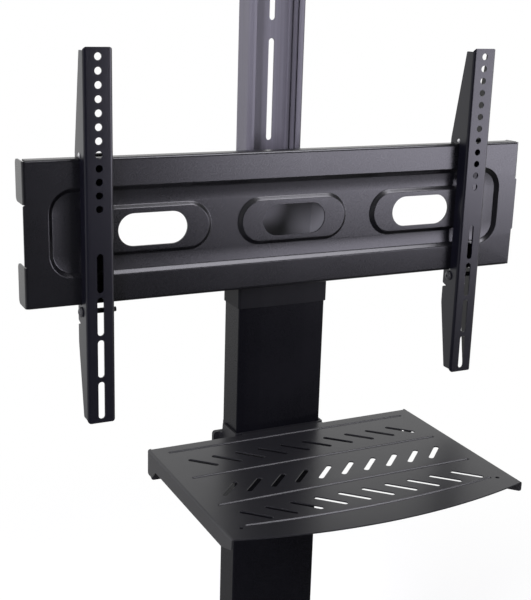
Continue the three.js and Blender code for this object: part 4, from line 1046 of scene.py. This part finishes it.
def cover_front(grow=0.0):
    """Front and sides of the wide part, from its rear left to its rear right corner."""
    shoulder_x, shoulder_y = cover_shoulder
    edge_x, edge_y = cover_edge
    front = cover_low.y - grow
    right = [
        (cover_flat, front),
        (shoulder_x, front + shoulder_y),
        (edge_x + grow * cover_edge_growth, front + edge_y),
        (cover_half + grow, front + edge_y + cover_side_start),
        (cover_half + grow, cover_high.y + grow),
    ]
    return [(-x, y) for x, y in reversed(right)] + right


cover_finish = powder_coat("cover_paint", (0.0018, 0.0018, 0.0026), 0.28, 0.12, grain=0.4, bump=0.06,
                           drift=0.2, rough_drift=0.1)
cover = Blank(laid((0, 0, 0)))
cover_line = [(-cover_return, cover_high.y), *cover_front(), (cover_return, cover_high.y)]
folded(cover, softened(cover_line, cover_fillet, 4, closed=False), cover_low.z, cover_high.z)
to_piece("front_cover", cover, cover_finish, "base", "column_cover",
         gauge=cover_wall, outward=forward, rounding=tube_edge, sharp=40)

collar_low, collar_high = box_mm("column_collar")
collar_grow = collar_high.x - cover_half
collar_edge = 1.3
collar_fillet = 2.6
collar_gauge = 1.4
collar_top_wall = 3.0
passage_gap = 0.6
passage_lap = 0.1
passage_half = [half + passage_gap for half in mast_half]


def collar_line(inset):
    """The collar's outline from above: round the wide cover, and then round the tube."""
    grow = collar_grow - inset
    tube_x, tube_y = tube_half.x + grow, tube_high.y + grow
    back = cover_high.y + grow
    points = [*cover_front(grow), (tube_x, back), (tube_x, tube_y), (-tube_x, tube_y), (-tube_x, back)]
    return softened(points, collar_fillet, 4)


collar = Blank(laid((0, 0, 0)))
collar_levels = [(drop, collar_high.z - inset) for inset, drop in arc(collar_edge, 5)]
collar_levels.append((0, collar_low.z))
collar_rings = [collar.loop(collar_line(inset), height) for inset, height in collar_levels]
collar.skin(*collar_rings)
passage = rounded_loop(cap_middle, *passage_half, mast_corner, 5)
mouth = collar.loop(passage, collar_high.z)
collar.fill(collar_rings[0], mouth)
collar.skin(mouth, collar.loop(passage, collar_high.z - collar_top_wall + passage_lap))
to_piece("column_top_collar", collar, moulded_black, "base", "column_collar",
         gauge=collar_gauge, outward=skyward, sharp=50)

clamp_head_foot = 0.6
clamp_head_crown = ((0.0, 1.2), (0.5, 0.4), (1.2, 0.0))
clamp_socket = (3.4, 3.2)
clamp_tip = (3.2, 1.0)
clamp_edge = 0.2
for side, (low, high) in clamp_screws.items():
    middle = (low + high) / 2
    radius = (high.x - low.x) / 2
    seat = tube_high.y + seat_gap
    height = high.y - seat
    tip = low.y - seat
    head = [(bolt_radius, 0), (radius - clamp_head_foot, 0), (radius, clamp_head_foot)]
    head += [(radius - inset, height - drop) for inset, drop in clamp_head_crown]
    clamp_screw = Blank(laid((middle.x, seat, middle.z), "Y"))
    socket_head(clamp_screw, head, *clamp_socket)
    turn(clamp_screw, [(bolt_radius, 0), (bolt_radius, tip + clamp_tip[1]), (clamp_tip[0], tip), (0, tip)])
    to_piece(f"mast_lock_screw_{side}", clamp_screw, black_zinc, "base",
             f"column_lock_screw_{side}", rounding=clamp_edge, sharp=40)

# Shelf
# One pressed sheet with a bowed front edge: three rows of slanted slots, three straight
# grooves and a bowed one, sides and rear edge bent down. Satin black powder coat.
shelf_low, shelf_high = box_mm("shelf")
shelf_back = shelf_high.y
shelf_half = shelf_high.x
shelf_bow = 25.5
shelf_corner_y = shelf_low.y + shelf_bow
shelf_gauge = 1.5
shelf_bend = 2.5
shelf_edge = 0.25
shelf_flat = shelf_half - shelf_bend
shelf_drop = 20.0
shelf_rear_z = shelf_high.z - 32.0
shelf_rear_tab = (13.0, 12.0)
shelf_nose = (26.0, 12.0)
shelf_side_fillet = 3.0
rear_flange_span = (56.0, 180.5)
rear_flange_drop = 41.0
rear_flange_fillet = 4.0
shelf_slot_size = (39.0, 6.4)
shelf_slot_pitch = 30.4
shelf_slot_rows = ((60.7, -1), (138.2, 1), (207.2, -1))
shelf_slot_count = 10
groove_length = 332.0
groove_width = 6.6
groove_wall = 2.4
groove_depth = 1.2
groove_rows = (19.5, 96.5, 171.5)
bowed_groove = (236.5, 11.0)
bowed_groove_half = 156.0
bowed_groove_width = 5.0
bowed_groove_wall = 1.8
shelf_hole = (2.5, 20.0)

shelf_coat = powder_coat("shelf_powder_coat", (0.006, 0.006, 0.007), 0.34, 0.4, grain=0.7)


def bow_y(x):
    """Front edge of the shelf, at its most forward in the middle."""
    return shelf_corner_y - shelf_bow * (1 - (x / shelf_half) ** 2)


def bowed_groove_line(offset, steps=12, end_steps=8):
    """Outline of the bowed groove, drawn in by an offset."""
    back, bow = bowed_groove
    width = bowed_groove_width / 2 - offset
    stations = [bowed_groove_half * (k / steps - 1) for k in range(2 * steps + 1)]
    middle = [(x, shelf_back - back + bow * (x / bowed_groove_half) ** 2) for x in stations]
    round_end = [(width * math.sin(a), width * math.cos(a))
                 for a in (math.pi * k / end_steps for k in range(1, end_steps))]
    lower = [(x, y - width) for x, y in middle]
    upper = [(x, y + width) for x, y in reversed(middle)]
    right = [(middle[-1][0] + u, middle[-1][1] - v) for u, v in round_end]
    left = [(middle[0][0] - u, middle[0][1] + v) for u, v in round_end]
    return lower + right + upper + left


shelf = Blank(lambda u, v, depth: (u, v, shelf_high.z - depth))
span_in, span_out = rear_flange_span
bend_back = shelf_back - shelf_bend
rear_edge = [
    (shelf_flat, shelf_back), (span_out, shelf_back), (span_out, bend_back),
    (span_in, bend_back), (span_in, shelf_back),
]
rear_edge += [(-x, y) for x, y in reversed(rear_edge)]
front_edge = [(x, bow_y(x)) for x in (shelf_flat * (k / 16 - 1) for k in range(33))]
sheet_edge = shelf.loop(rear_edge + front_edge)
openings = []
for back, turned_to in shelf_slot_rows:
    for n in range(shelf_slot_count):
        x = (n - (shelf_slot_count - 1) / 2) * shelf_slot_pitch
        openings.append(slot_loop((x, shelf_back - back), *shelf_slot_size, turned_to * math.pi / 4, 4))
hole_size, hole_inset = shelf_hole
for sign in (-1, 1):
    openings.append(ring((sign * (shelf_half - hole_inset), shelf_corner_y + hole_inset), hole_size, 16))
groove_lines = [
    (lambda offset, back=back: slot_loop(
        (0, shelf_back - back), groove_length - 2 * offset, groove_width - 2 * offset), groove_wall)
    for back in groove_rows
]
groove_edges = []
for outline, wall in (*groove_lines, (bowed_groove_line, bowed_groove_wall)):
    edge, floor = shelf.press(outline, 1, 0, groove_depth, wall, 5)
    shelf.fill(floor)
    groove_edges.append(edge)
shelf.fill(sheet_edge, *groove_edges, *(shelf.loop(points) for points in openings))


def shelf_flap(root, bent, line, radius, steps, lay):
    """Bends one edge of the shelf down through a right angle and closes the flat flap below."""
    rings = [shelf.loop(points, back) for points, back in bent]
    shelf.skin(root, *rings, closed=False)
    flap = shelf.points_at(lay(s, z) for s, z in softened(line, radius, steps, closed=False)[1:-1])
    shelf.fill([rings[-1][0], *flap, rings[-1][1]])


rear = len(rear_edge)
tab, slope = shelf_rear_tab
nose, nose_drop = shelf_nose
fold_z = shelf_high.z - shelf_bend
side_z = shelf_high.z - shelf_drop
flange_z = shelf_high.z - rear_flange_drop
side_line = [
    (shelf_corner_y, fold_z), (shelf_corner_y, shelf_high.z - nose_drop), (shelf_corner_y + nose, side_z),
    (shelf_back - tab - slope, side_z), (shelf_back - tab, shelf_rear_z), (shelf_back, shelf_rear_z),
    (shelf_back, fold_z),
]
flange_line = [(span_out, fold_z), (span_out, flange_z), (span_in, flange_z), (span_in, fold_z)]
for side, root in ((1, (-1, 0)), (-1, (rear, rear - 1))):
    bent = [([(side * (shelf_flat + out), bow_y(shelf_flat + out)), (side * (shelf_flat + out), shelf_back)],
             back) for out, back in bend(shelf_bend)]
    shelf_flap([sheet_edge[n] for n in root], bent, side_line, shelf_side_fillet, 3,
               lambda y, z: (side * shelf_half, y, z))
for side, root in ((1, (2, 3)), (-1, (rear - 3, rear - 4))):
    bent = [([(side * span_out, bend_back + out), (side * span_in, bend_back + out)], back)
            for out, back in bend(shelf_bend)]
    shelf_flap([sheet_edge[n] for n in root], bent, flange_line, rear_flange_fillet, 4,
               lambda x, z: (side * x, shelf_back, z))
to_piece("shelf_pressing", shelf, shelf_coat, "shelf", "shelf",
         gauge=shelf_gauge, outward=skyward, rounding=shelf_edge)

# Shelf bracket
# A U of 3 mm sheet passes round the column's cover, and a strap with two small bolts closes it
# behind the tube. A tray and two gussets welded to its front carry the shelf.
hold_low, hold_high = box_mm("shelf_bracket")
strap_low, strap_high = box_mm("shelf_clamp_strap")
hold_gauge = 3.0
hold_fold = 4.0
wrap_x = cover_half + seat_gap + hold_gauge
wrap_front = cover_low.y - seat_gap - hold_gauge
strap_x = tube_half.x + seat_gap + hold_gauge
ear_front = hold_high.y - hold_gauge
ear_corner = 4.0
ear_run = 7.0
ear_step = 6.0
tray_half = 55.0
tray_lap = 1.0
tray_hole = (34.0, 24.0)
tray_hole_size = (14.0, 5.4)
gusset_gauge = 3.0
gusset_corner = 1.5
gusset_toe = 3.0
gusset_lap = 0.5
gusset_hole = (-20.0, 851.0)
gusset_hole_radius = 7.0
gusset_weld_inset = 12.0
ripple_shape = ((0.15, 0.86), (0.55, 1.0), (0.95, 0.8))
small_bolt = {"radius": 2.5, "head_radius": 4.4, "head": 3.6}


def eared_sheet(blank, half_line, top_at):
    """Sheet along a line that mirrors itself, with round-cornered ears at both ends."""
    ear_x = [hold_high.x - inset for inset, drop in arc(ear_corner, 4)[1:]]
    ear_y = half_line[-1][1]
    right = [*half_line, *((x, ear_y) for x in reversed(ear_x)), (hold_high.x, ear_y)]
    pairs = []
    for x, y in softened([(-x, y) for x, y in reversed(right)] + right, hold_fold, 4, closed=False):
        cut = corner_cut(x, hold_high.x, ear_corner)
        pairs.append(blank.loop([(x, y)], strap_low.z + cut) + blank.loop([(x, y)], top_at(y) - cut))
    blank.skin(*pairs, closed=False)


def weld(name, start, end, body, node, bead=2.0, ripple=2.6):
    """Rippled bead of weld metal under the powder coat, from one point to another."""
    start, end = Vector(start), Vector(end)
    turned = (end - start).to_track_quat("Z", "Y").to_matrix()
    seam = Blank(lambda u, v, depth: start + turned @ Vector((u, v, depth)))
    length = (end - start).length
    count = max(int(length / ripple), 2)
    profile = [(bead * size, length * (n + share) / count)
               for n in range(count) for share, size in ripple_shape]
    turn(seam, [(0, 0), *profile, (0, length)], 10)
    to_piece(name, seam, frame_coat, body, node, sharp=60)


def wrap_top(y):
    """Top of the U: it steps down to the strap's height where its ears begin."""
    return strap_high.z + (hold_high.z - strap_high.z) * min(max(ear_front - ear_step - y, 0), 1)


wrap = Blank(laid((0, 0, 0)))
eared_sheet(wrap, [(wrap_x, wrap_front), (wrap_x, ear_front - ear_run), (wrap_x, ear_front)], wrap_top)
to_piece("shelf_bracket_wrap", wrap, frame_coat, "shelf", "shelf_bracket",
         gauge=hold_gauge, outward=forward, rounding=bracket_edge)

tray_back = wrap_front + tray_lap
tray_under = hold_high.z - hold_gauge
tray_line = softened([
    (-tray_half, hold_low.y), (tray_half, hold_low.y), (tray_half, tray_back), (-tray_half, tray_back),
], ear_corner, 4)
tray_holes = [slot_loop((sign * tray_hole[0], hold_low.y + tray_hole[1]), *tray_hole_size)
              for sign in (-1, 1)]
tray = Blank(laid((0, 0, 0)))
block(tray, tray_line, tray_under, hold_high.z, tray_holes)
to_piece("shelf_bracket_tray", tray, frame_coat, "shelf", "shelf_bracket",
         rounding=bracket_edge)
gusset_front = hold_low.y + ear_corner
gusset_bottom = hold_low.z + gusset_lap
gusset_line = softened([
    (tray_back, gusset_bottom), (tray_back, tray_under + gusset_lap), (gusset_front, tray_under + gusset_lap),
    (gusset_front, tray_under - hold_gauge), (wrap_front - gusset_toe, gusset_bottom),
], gusset_corner, 3)
for side, sign in (("left", -1), ("right", 1)):
    outer = sign * (tray_half - hold_gauge)
    gusset = Blank(laid((outer, 0, 0), "X", -sign))
    block(gusset, gusset_line, 0, gusset_gauge, [ring(gusset_hole, gusset_hole_radius)])
    to_piece(f"shelf_gusset_{side}", gusset, frame_coat, "shelf", "shelf_bracket",
             rounding=bracket_edge)
    weld(f"gusset_weld_{side}", (outer, hold_low.y + gusset_weld_inset, tray_under),
         (outer, wrap_front, tray_under), "shelf", "shelf_bracket")
    weld(f"wrap_weld_{side}", (outer, wrap_front, tray_under - gusset_toe),
         (outer, wrap_front, hold_low.z + gusset_toe), "shelf", "shelf_bracket")

strap = Blank(laid((0, 0, 0)))
eared_sheet(strap, [(strap_x, strap_high.y), (strap_x, strap_low.y + hold_gauge)], lambda y: strap_high.z)
to_piece("shelf_strap", strap, frame_coat, "shelf", "shelf_clamp_strap",
         gauge=hold_gauge, outward=-forward, rounding=bracket_edge)
for side in ("left", "right"):
    hex_bolt(f"shelf_bolt_{side}", f"shelf_clamp_bolt_{side}", "shelf", "Y", **small_bolt)

# Foot
# A plate welded on the crossbar, with two walls that take the column's tube between them. Two
# long bolts pass through both walls and the tube.
foot_low, foot_high = box_mm("column_foot")
foot_plate_top = cover_low.z - seat_gap
foot_middle_y = (foot_low.y + foot_high.y) / 2
foot_half = (foot_high.x, (foot_high.y - foot_low.y) / 2)
foot_corner = 8.0
foot_edge = 0.6
foot_gauge = 5.0
foot_wall_x = (tube_half.x + seat_gap, tube_half.x + seat_gap + foot_gauge)
foot_wall_y = (cover_high.y + seat_gap, tube_high.y)
foot_wall_lap = 1.0
foot_weld_inset = 1.5
foot_weld_bead = 2.6

foot_plate = Blank(laid((0, 0, 0)))
block(foot_plate, rounded_loop((0, foot_middle_y), *foot_half, foot_corner), foot_low.z, foot_plate_top)
to_piece("foot_plate", foot_plate, frame_coat, "base", "column_foot", rounding=foot_edge)
near_y, far_y = foot_wall_y
foot_arc = arc(foot_corner, 6)
foot_wall_line = [(near_y, foot_low.z + foot_wall_lap), (far_y, foot_low.z + foot_wall_lap)]
foot_wall_line += [(far_y - inset, foot_high.z - drop) for inset, drop in foot_arc]
foot_wall_line += [(near_y + inset, foot_high.z - drop) for inset, drop in reversed(foot_arc)]
foot_holes = [ring(((low.y + high.y) / 2, (low.z + high.z) / 2), bolt_hole)
              for low, high in foot_bolts.values()]
for side, sign in (("left", -1), ("right", 1)):
    foot_wall = Blank(laid((0, 0, 0), "X", sign))
    block(foot_wall, foot_wall_line, *foot_wall_x, foot_holes)
    to_piece(f"foot_wall_{side}", foot_wall, frame_coat, "base", "column_foot",
             rounding=foot_edge)
    seam_x = sign * foot_wall_x[1]
    weld(f"foot_weld_{side}", (seam_x, near_y + foot_weld_inset, foot_plate_top),
         (seam_x, far_y - foot_weld_inset, foot_plate_top), "base", "column_foot", foot_weld_bead)
for place in foot_bolts:
    hex_bolt(f"column_bolt_{place}", f"foot_bolt_{place}", "base", "X")

# Base
# Two legs of 50 by 30 mm tube with crowned moulded end caps, joined by a flat crossbar of tube
# whose closed ends are bolted to the legs. Satin black powder coat.
leg_wall = 2.0
leg_corner = 4.0
stem_inset = 70.0
stem_hole = 5.2
leg_cap_round = 2.0
leg_cap_plate = 5.0
leg_plug_corner = 1.8
leg_plug_root = 0.5
crossbar_end = 4.0
crossbar_end_inset = 0.2

leg_bolts = {end: box_mm(f"leg_bolt_{end}_left") for end in ("front", "rear")}
leg_bolt_y = [(low.y + high.y) / 2 for low, high in leg_bolts.values()]
leg_cap_levels = [(0, 0), *((inset, leg_cap_plate - drop) for inset, drop in arc(leg_cap_round, 4))]
for side, sign in (("left", 1), ("right", -1)):
    leg_low, leg_high = box_mm(f"base_leg_{side}")
    leg_middle = (leg_low + leg_high) / 2
    leg_half = (leg_high - leg_low) / 2
    leg = Blank(laid((leg_middle.x, 0, leg_middle.z), "Y"))
    leg_holes = [(3, 0, y, stem_hole) for y in (leg_low.y + stem_inset, leg_high.y - stem_inset)]
    leg_holes += [(where, 0, y, bolt_hole) for where in (0, 2) for y in leg_bolt_y]
    square_tube(leg, leg_half.x, leg_half.z, leg_corner, leg_low.y, leg_high.y, leg_holes)
    to_piece(f"leg_tube_{side}", leg, frame_coat, "base", f"base_leg_{side}",
             gauge=leg_wall, rounding=tube_edge)
    for end, facing in (("front", -1), ("rear", 1)):
        hex_bolt(f"base_bolt_{end}_{side}", f"leg_bolt_{end}_{side}", "base", "X", sign)
        low, high = box_mm(f"leg_cap_{end}_{side}")
        seat, reach = leg_high.y + seat_gap, high.y - low.y - leg_cap_plate
        leg_cap = Blank(laid((leg_middle.x, facing * seat, leg_middle.z), "Y", facing))
        crowned(leg_cap, (0, 0), (leg_half.x, leg_half.z), leg_corner, leg_cap_levels)
        leg_plug = [half - leg_wall - seat_gap for half in (leg_half.x, leg_half.z)]
        block(leg_cap, rounded_loop((0, 0), *leg_plug, leg_plug_corner, 3), leg_plug_root, -reach)
        to_piece(f"tube_cap_{end}_{side}", leg_cap, moulded_black, "base",
                 f"leg_cap_{end}_{side}")

bar_low, bar_high = box_mm("base_crossbar")
bar_middle = (bar_low + bar_high) / 2
bar_half = (bar_high - bar_low) / 2
crossbar = Blank(laid(bar_middle, "X"))
square_tube(crossbar, bar_half.y, bar_half.z, leg_corner, -bar_half.x, bar_half.x)
to_piece("crossbar_tube", crossbar, frame_coat, "base", "base_crossbar",
         gauge=leg_wall, rounding=tube_edge)
end_line = rounded_loop((0, 0), bar_half.y - leg_wall, bar_half.z - leg_wall, leg_corner - leg_wall, 4)
end_holes = [ring((y - bar_middle.y, 0), bolt_hole) for y in leg_bolt_y]
for side, sign in (("left", -1), ("right", 1)):
    closing = Blank(laid(bar_middle, "X", sign))
    block(closing, end_line, bar_half.x - crossbar_end, bar_half.x - crossbar_end_inset, end_holes)
    to_piece(f"crossbar_end_{side}", closing, frame_coat, "base", "base_crossbar",
             rounding=tube_edge)

# Casters
# Twin-flanged swivel casters: a riveted kingpin with its ball race, a pressed steel fork, a
# rubber-tyred wheel on a moulded hub, and a moulded brake pedal with a ribbed pad.
caster_trail = 22.0
wheel_radius = 30.0
wheel_half = 11.0
wheel_gap = 1.0
hub_radius = 20.0
hub_profile = ((7.0, 0.0), (7.6, 0.6), (8.2, 6.0), (15.6, 6.4), (16.2, 4.2), (19.4, 4.0))
hub_ribs = 6
hub_rib_middle = 12.0
hub_rib_size = (10.0, 1.8)
hub_rib_inset = 4.6
tyre_shoulder = 3.5
tyre_bead = ((-1.0, 4.0), (0.0, 4.0), (1.2, 2.6), (3.0, 0.6))
tyre_seam = ((0.0, 0.6), (0.25, 0.3))
axle_radius = 4.0
axle_head = (6.0, 2.0)
axle_rim = 0.7
kingpin_radius = 4.95
stem_head = 8.0
stem_dome = (0.8, 1.7)
stem_nut = (8.5, 7.0)
race_profile = ((12.6, 0.0), (13.8, 0.5), (14.4, 1.5), (15.2, 1.8), (16.0, 2.0), (16.0, 2.7), (15.4, 3.0),
                (14.6, 3.0), (13.6, 3.6), (12.4, 4.0))
fork_gauge = 3.0
fork_fold = 4.0
fork_edge = 0.3
fork_fillet = 2.5
fork_half_plate = 17.0
fork_shoulder = (3.0, 1.5)
fork_toe = 9.0
fork_rear = (46.0, 58.0)
pedal_pivot = (38.0, 62.0)
pedal_hub = 4.0
pedal_pin = 2.5
pedal_side = 11.7
pedal_sheet = 3.5
pedal_edge = 0.4
tongue_lap = 3.0
tongue_end = (0.75, 0.9)
tongue_fillet = 1.0
pad_reach = (16.0, 30.0)
pad_half = 20.0
pad_corner = 4.0
pad_face = 0.6
pad_edge = 0.25
pad_ribs = 4
pad_rib_margin = (4.0, 2.8)
pad_rib_width = 1.3
pad_rib_depths = (0.05, 1.0)

tyre_rubber = powder_coat("tyre_rubber", (0.020, 0.020, 0.021), 0.62, grain=0.9, grain_size=1600,
                          bump=0.2)
hub_plastic = powder_coat("hub_plastic", (0.035, 0.035, 0.037), 0.45, grain=0.6, grain_size=2000)


def kingpin(label, x, y, top):
    """Riveted pin that holds the fork, with the ball race above it and the nut inside the leg."""
    stem_low, stem_high = box_mm(f"caster_stem_{label}")
    under = top - fork_gauge - seat_gap
    race = top + seat_gap
    nut_bottom = leg_low.z + leg_wall + seat_gap
    nut_top = nut_bottom + stem_nut[1]
    head = [(radius, under - rise) for radius, rise in dome(stem_head, *stem_dome)]
    balls = [(radius, race + rise) for radius, rise in race_profile]
    pin = Blank(laid((x, y, 0)))
    turn(pin, [
        (0, stem_low.z), *reversed(head), (stem_head, under), (kingpin_radius, under),
        (kingpin_radius, race), *balls, (kingpin_radius, balls[-1][1]),
        (kingpin_radius, nut_top - nut_end), (0, nut_top - nut_end),
    ], 40)
    hex_block(pin, stem_nut[0], nut_bottom, nut_top, bore=kingpin_radius + thread_gap)
    threaded(pin, kingpin_radius, nut_top - nut_end, stem_high.z)
    to_piece(f"caster_kingpin_{label}", pin, bright_zinc, "base",
             f"caster_stem_{label}", sharp=40)


def yoke(label, x, y, top, half):
    """Pressed fork: a flat top whose two sides are bent down to the axle and the pedal's pin."""
    flat = half - fork_fold
    flat_lay = laid((x, y, top), "Z", -1)
    fork = Blank(flat_lay)
    rim = fork.loop([(-flat, -fork_half_plate), (flat, -fork_half_plate),
                     (flat, fork_half_plate), (-flat, fork_half_plate)])
    fork.fill(rim, fork.loop(ring((0, 0), kingpin_radius + hole_clearance)))
    toe = [(caster_trail + fork_toe * math.cos(a), top - wheel_radius - fork_toe * math.sin(a))
           for a in (math.pi * (1 + k / 12) for k in range(13))]
    rear_y, rear_z = fork_rear
    side_line = softened([
        (-fork_half_plate, 2 * fork_gauge), *toe, (rear_y, top - rear_z), (rear_y, 0),
        (fork_half_plate + fork_shoulder[0], 0), (fork_half_plate + fork_shoulder[1], fork_fold),
    ], fork_fillet, 3, closed=False)
    for sign, root in ((1, [rim[1], rim[2]]), (-1, [rim[0], rim[3]])):
        bent = [fork.loop([(sign * (flat + out), v) for v in (-fork_half_plate, fork_half_plate)], back)
                for out, back in bend(fork_fold)]
        fork.skin(root, *bent, closed=False)
        fork.lay = lambda v, depth, _, sign=sign: (x + sign * half, y + v, top - depth)
        cheek = fork.loop(side_line)
        holes = [ring((caster_trail, top - wheel_radius), axle_radius + hole_clearance, 16),
                 ring((pedal_pivot[0], top - pedal_pivot[1]), pedal_pin + hole_clearance, 12)]
        fork.fill([bent[-1][0], *cheek, bent[-1][1]], *(fork.loop(points) for points in holes))
        fork.lay = flat_lay
    to_piece(f"caster_yoke_{label}", fork, black_zinc, f"caster_{label}",
             f"caster_fork_{label}", gauge=fork_gauge, outward=skyward, rounding=fork_edge)


def wheel(label, hub_place):
    """Riveted axle, rubber tyre and ribbed hub."""
    axle = Blank(laid(hub_place, "X"))
    grip = wheel_half + wheel_gap + fork_gauge + seat_gap
    size, height = axle_head
    turn(axle, both_sides([(0, grip + height), *reversed(dome(size, grip + axle_rim, height - axle_rim)),
                           (size, grip), (axle_radius, grip)]))
    to_piece(f"wheel_axle_{label}", axle, bright_zinc, f"caster_{label}",
             f"caster_axle_{label}")

    tyre_half = [(hub_radius + out, wheel_half - inset) for out, inset in tyre_bead]
    tyre_half += [(wheel_radius - inset, wheel_half - drop)
                  for inset, drop in reversed(arc(tyre_shoulder, 6))]
    tyre_half += [(wheel_radius - inset, depth) for inset, depth in tyre_seam]
    tyre = Blank(laid(hub_place, "X"))
    turn(tyre, [*both_sides(tyre_half), tyre_half[0]], 72)
    to_piece(f"wheel_tyre_{label}", tyre, tyre_rubber, f"wheel_{label}",
             f"caster_wheel_{label}")

    hub_half = [(axle_radius + hole_clearance, wheel_half),
                *((radius, wheel_half - inset) for radius, inset in hub_profile)]
    hub = Blank(laid(hub_place, "X"))
    turn(hub, [*both_sides(hub_half), hub_half[0]], 48)
    rib_half = wheel_half - hub_rib_inset
    for n in range(hub_ribs):
        angle = 2 * math.pi * n / hub_ribs
        place = (hub_rib_middle * math.cos(angle), hub_rib_middle * math.sin(angle))
        block(hub, slot_loop(place, *hub_rib_size, angle, 3), -rib_half, rib_half)
    to_piece(f"wheel_hub_{label}", hub, hub_plastic, f"wheel_{label}",
             f"caster_wheel_{label}")


def brake_pedal(label, x, y, half):
    """Pedal on a pin between the fork's cheeks: a tongue, and a sloping pad with ribs."""
    pivot = (x, y + pedal_pivot[0], pedal_pivot[1])
    near, far = pad_reach
    pedal = Blank(laid(pivot, "X"))
    turn(pedal, both_sides([(0, half), (pedal_pin, half), (pedal_pin, pedal_side),
                            (pedal_hub, pedal_side)]), 24)
    tongue = softened([
        (0, 0), (pedal_sheet, -pedal_sheet / 2), (near, pedal_hub - pedal_sheet),
        (near + tongue_lap, pedal_hub - pedal_sheet - tongue_end[0]),
        (near + tongue_lap, pedal_hub - tongue_end[1]), (near, pedal_hub), (0, pedal_hub),
    ], tongue_fillet, 2)
    block(pedal, tongue, -pedal_side, pedal_side)
    to_piece(f"pedal_lever_{label}", pedal, moulded_black, f"pedal_{label}",
             f"brake_pedal_{label}", rounding=pedal_edge)
    slope = -pedal_sheet / (far - near)
    pad = Blank(lambda u, v, depth: (x + u, pivot[1] + v, pivot[2] + pedal_hub + slope * (v - near) - depth))
    pad_line = rounded_loop((0, (near + far) / 2), pad_half, (far - near) / 2, pad_corner, 5)
    block(pad, pad_line, pad_face, pedal_sheet)
    side_margin, end_margin = pad_rib_margin
    for n in range(pad_ribs):
        place = near + end_margin + n * (far - near - 2 * end_margin) / (pad_ribs - 1)
        block(pad, slot_loop((0, place), 2 * (pad_half - side_margin), pad_rib_width, 0, 3), *pad_rib_depths)
    to_piece(f"pedal_pad_{label}", pad, moulded_black, f"pedal_{label}",
             f"brake_pedal_{label}", rounding=pad_edge)


for end in ("front", "rear"):
    for side in ("left", "right"):
        label = f"{end}_{side}"
        stem_low, stem_high = box_mm(f"caster_stem_{label}")
        fork_low, fork_high = box_mm(f"caster_fork_{label}")
        x, y = (stem_low.x + stem_high.x) / 2, (stem_low.y + stem_high.y) / 2
        half = (fork_high.x - fork_low.x) / 2
        kingpin(label, x, y, fork_high.z)
        yoke(label, x, y, fork_high.z, half)
        wheel(label, (x, y + caster_trail, wheel_radius))
        brake_pedal(label, x, y, half)
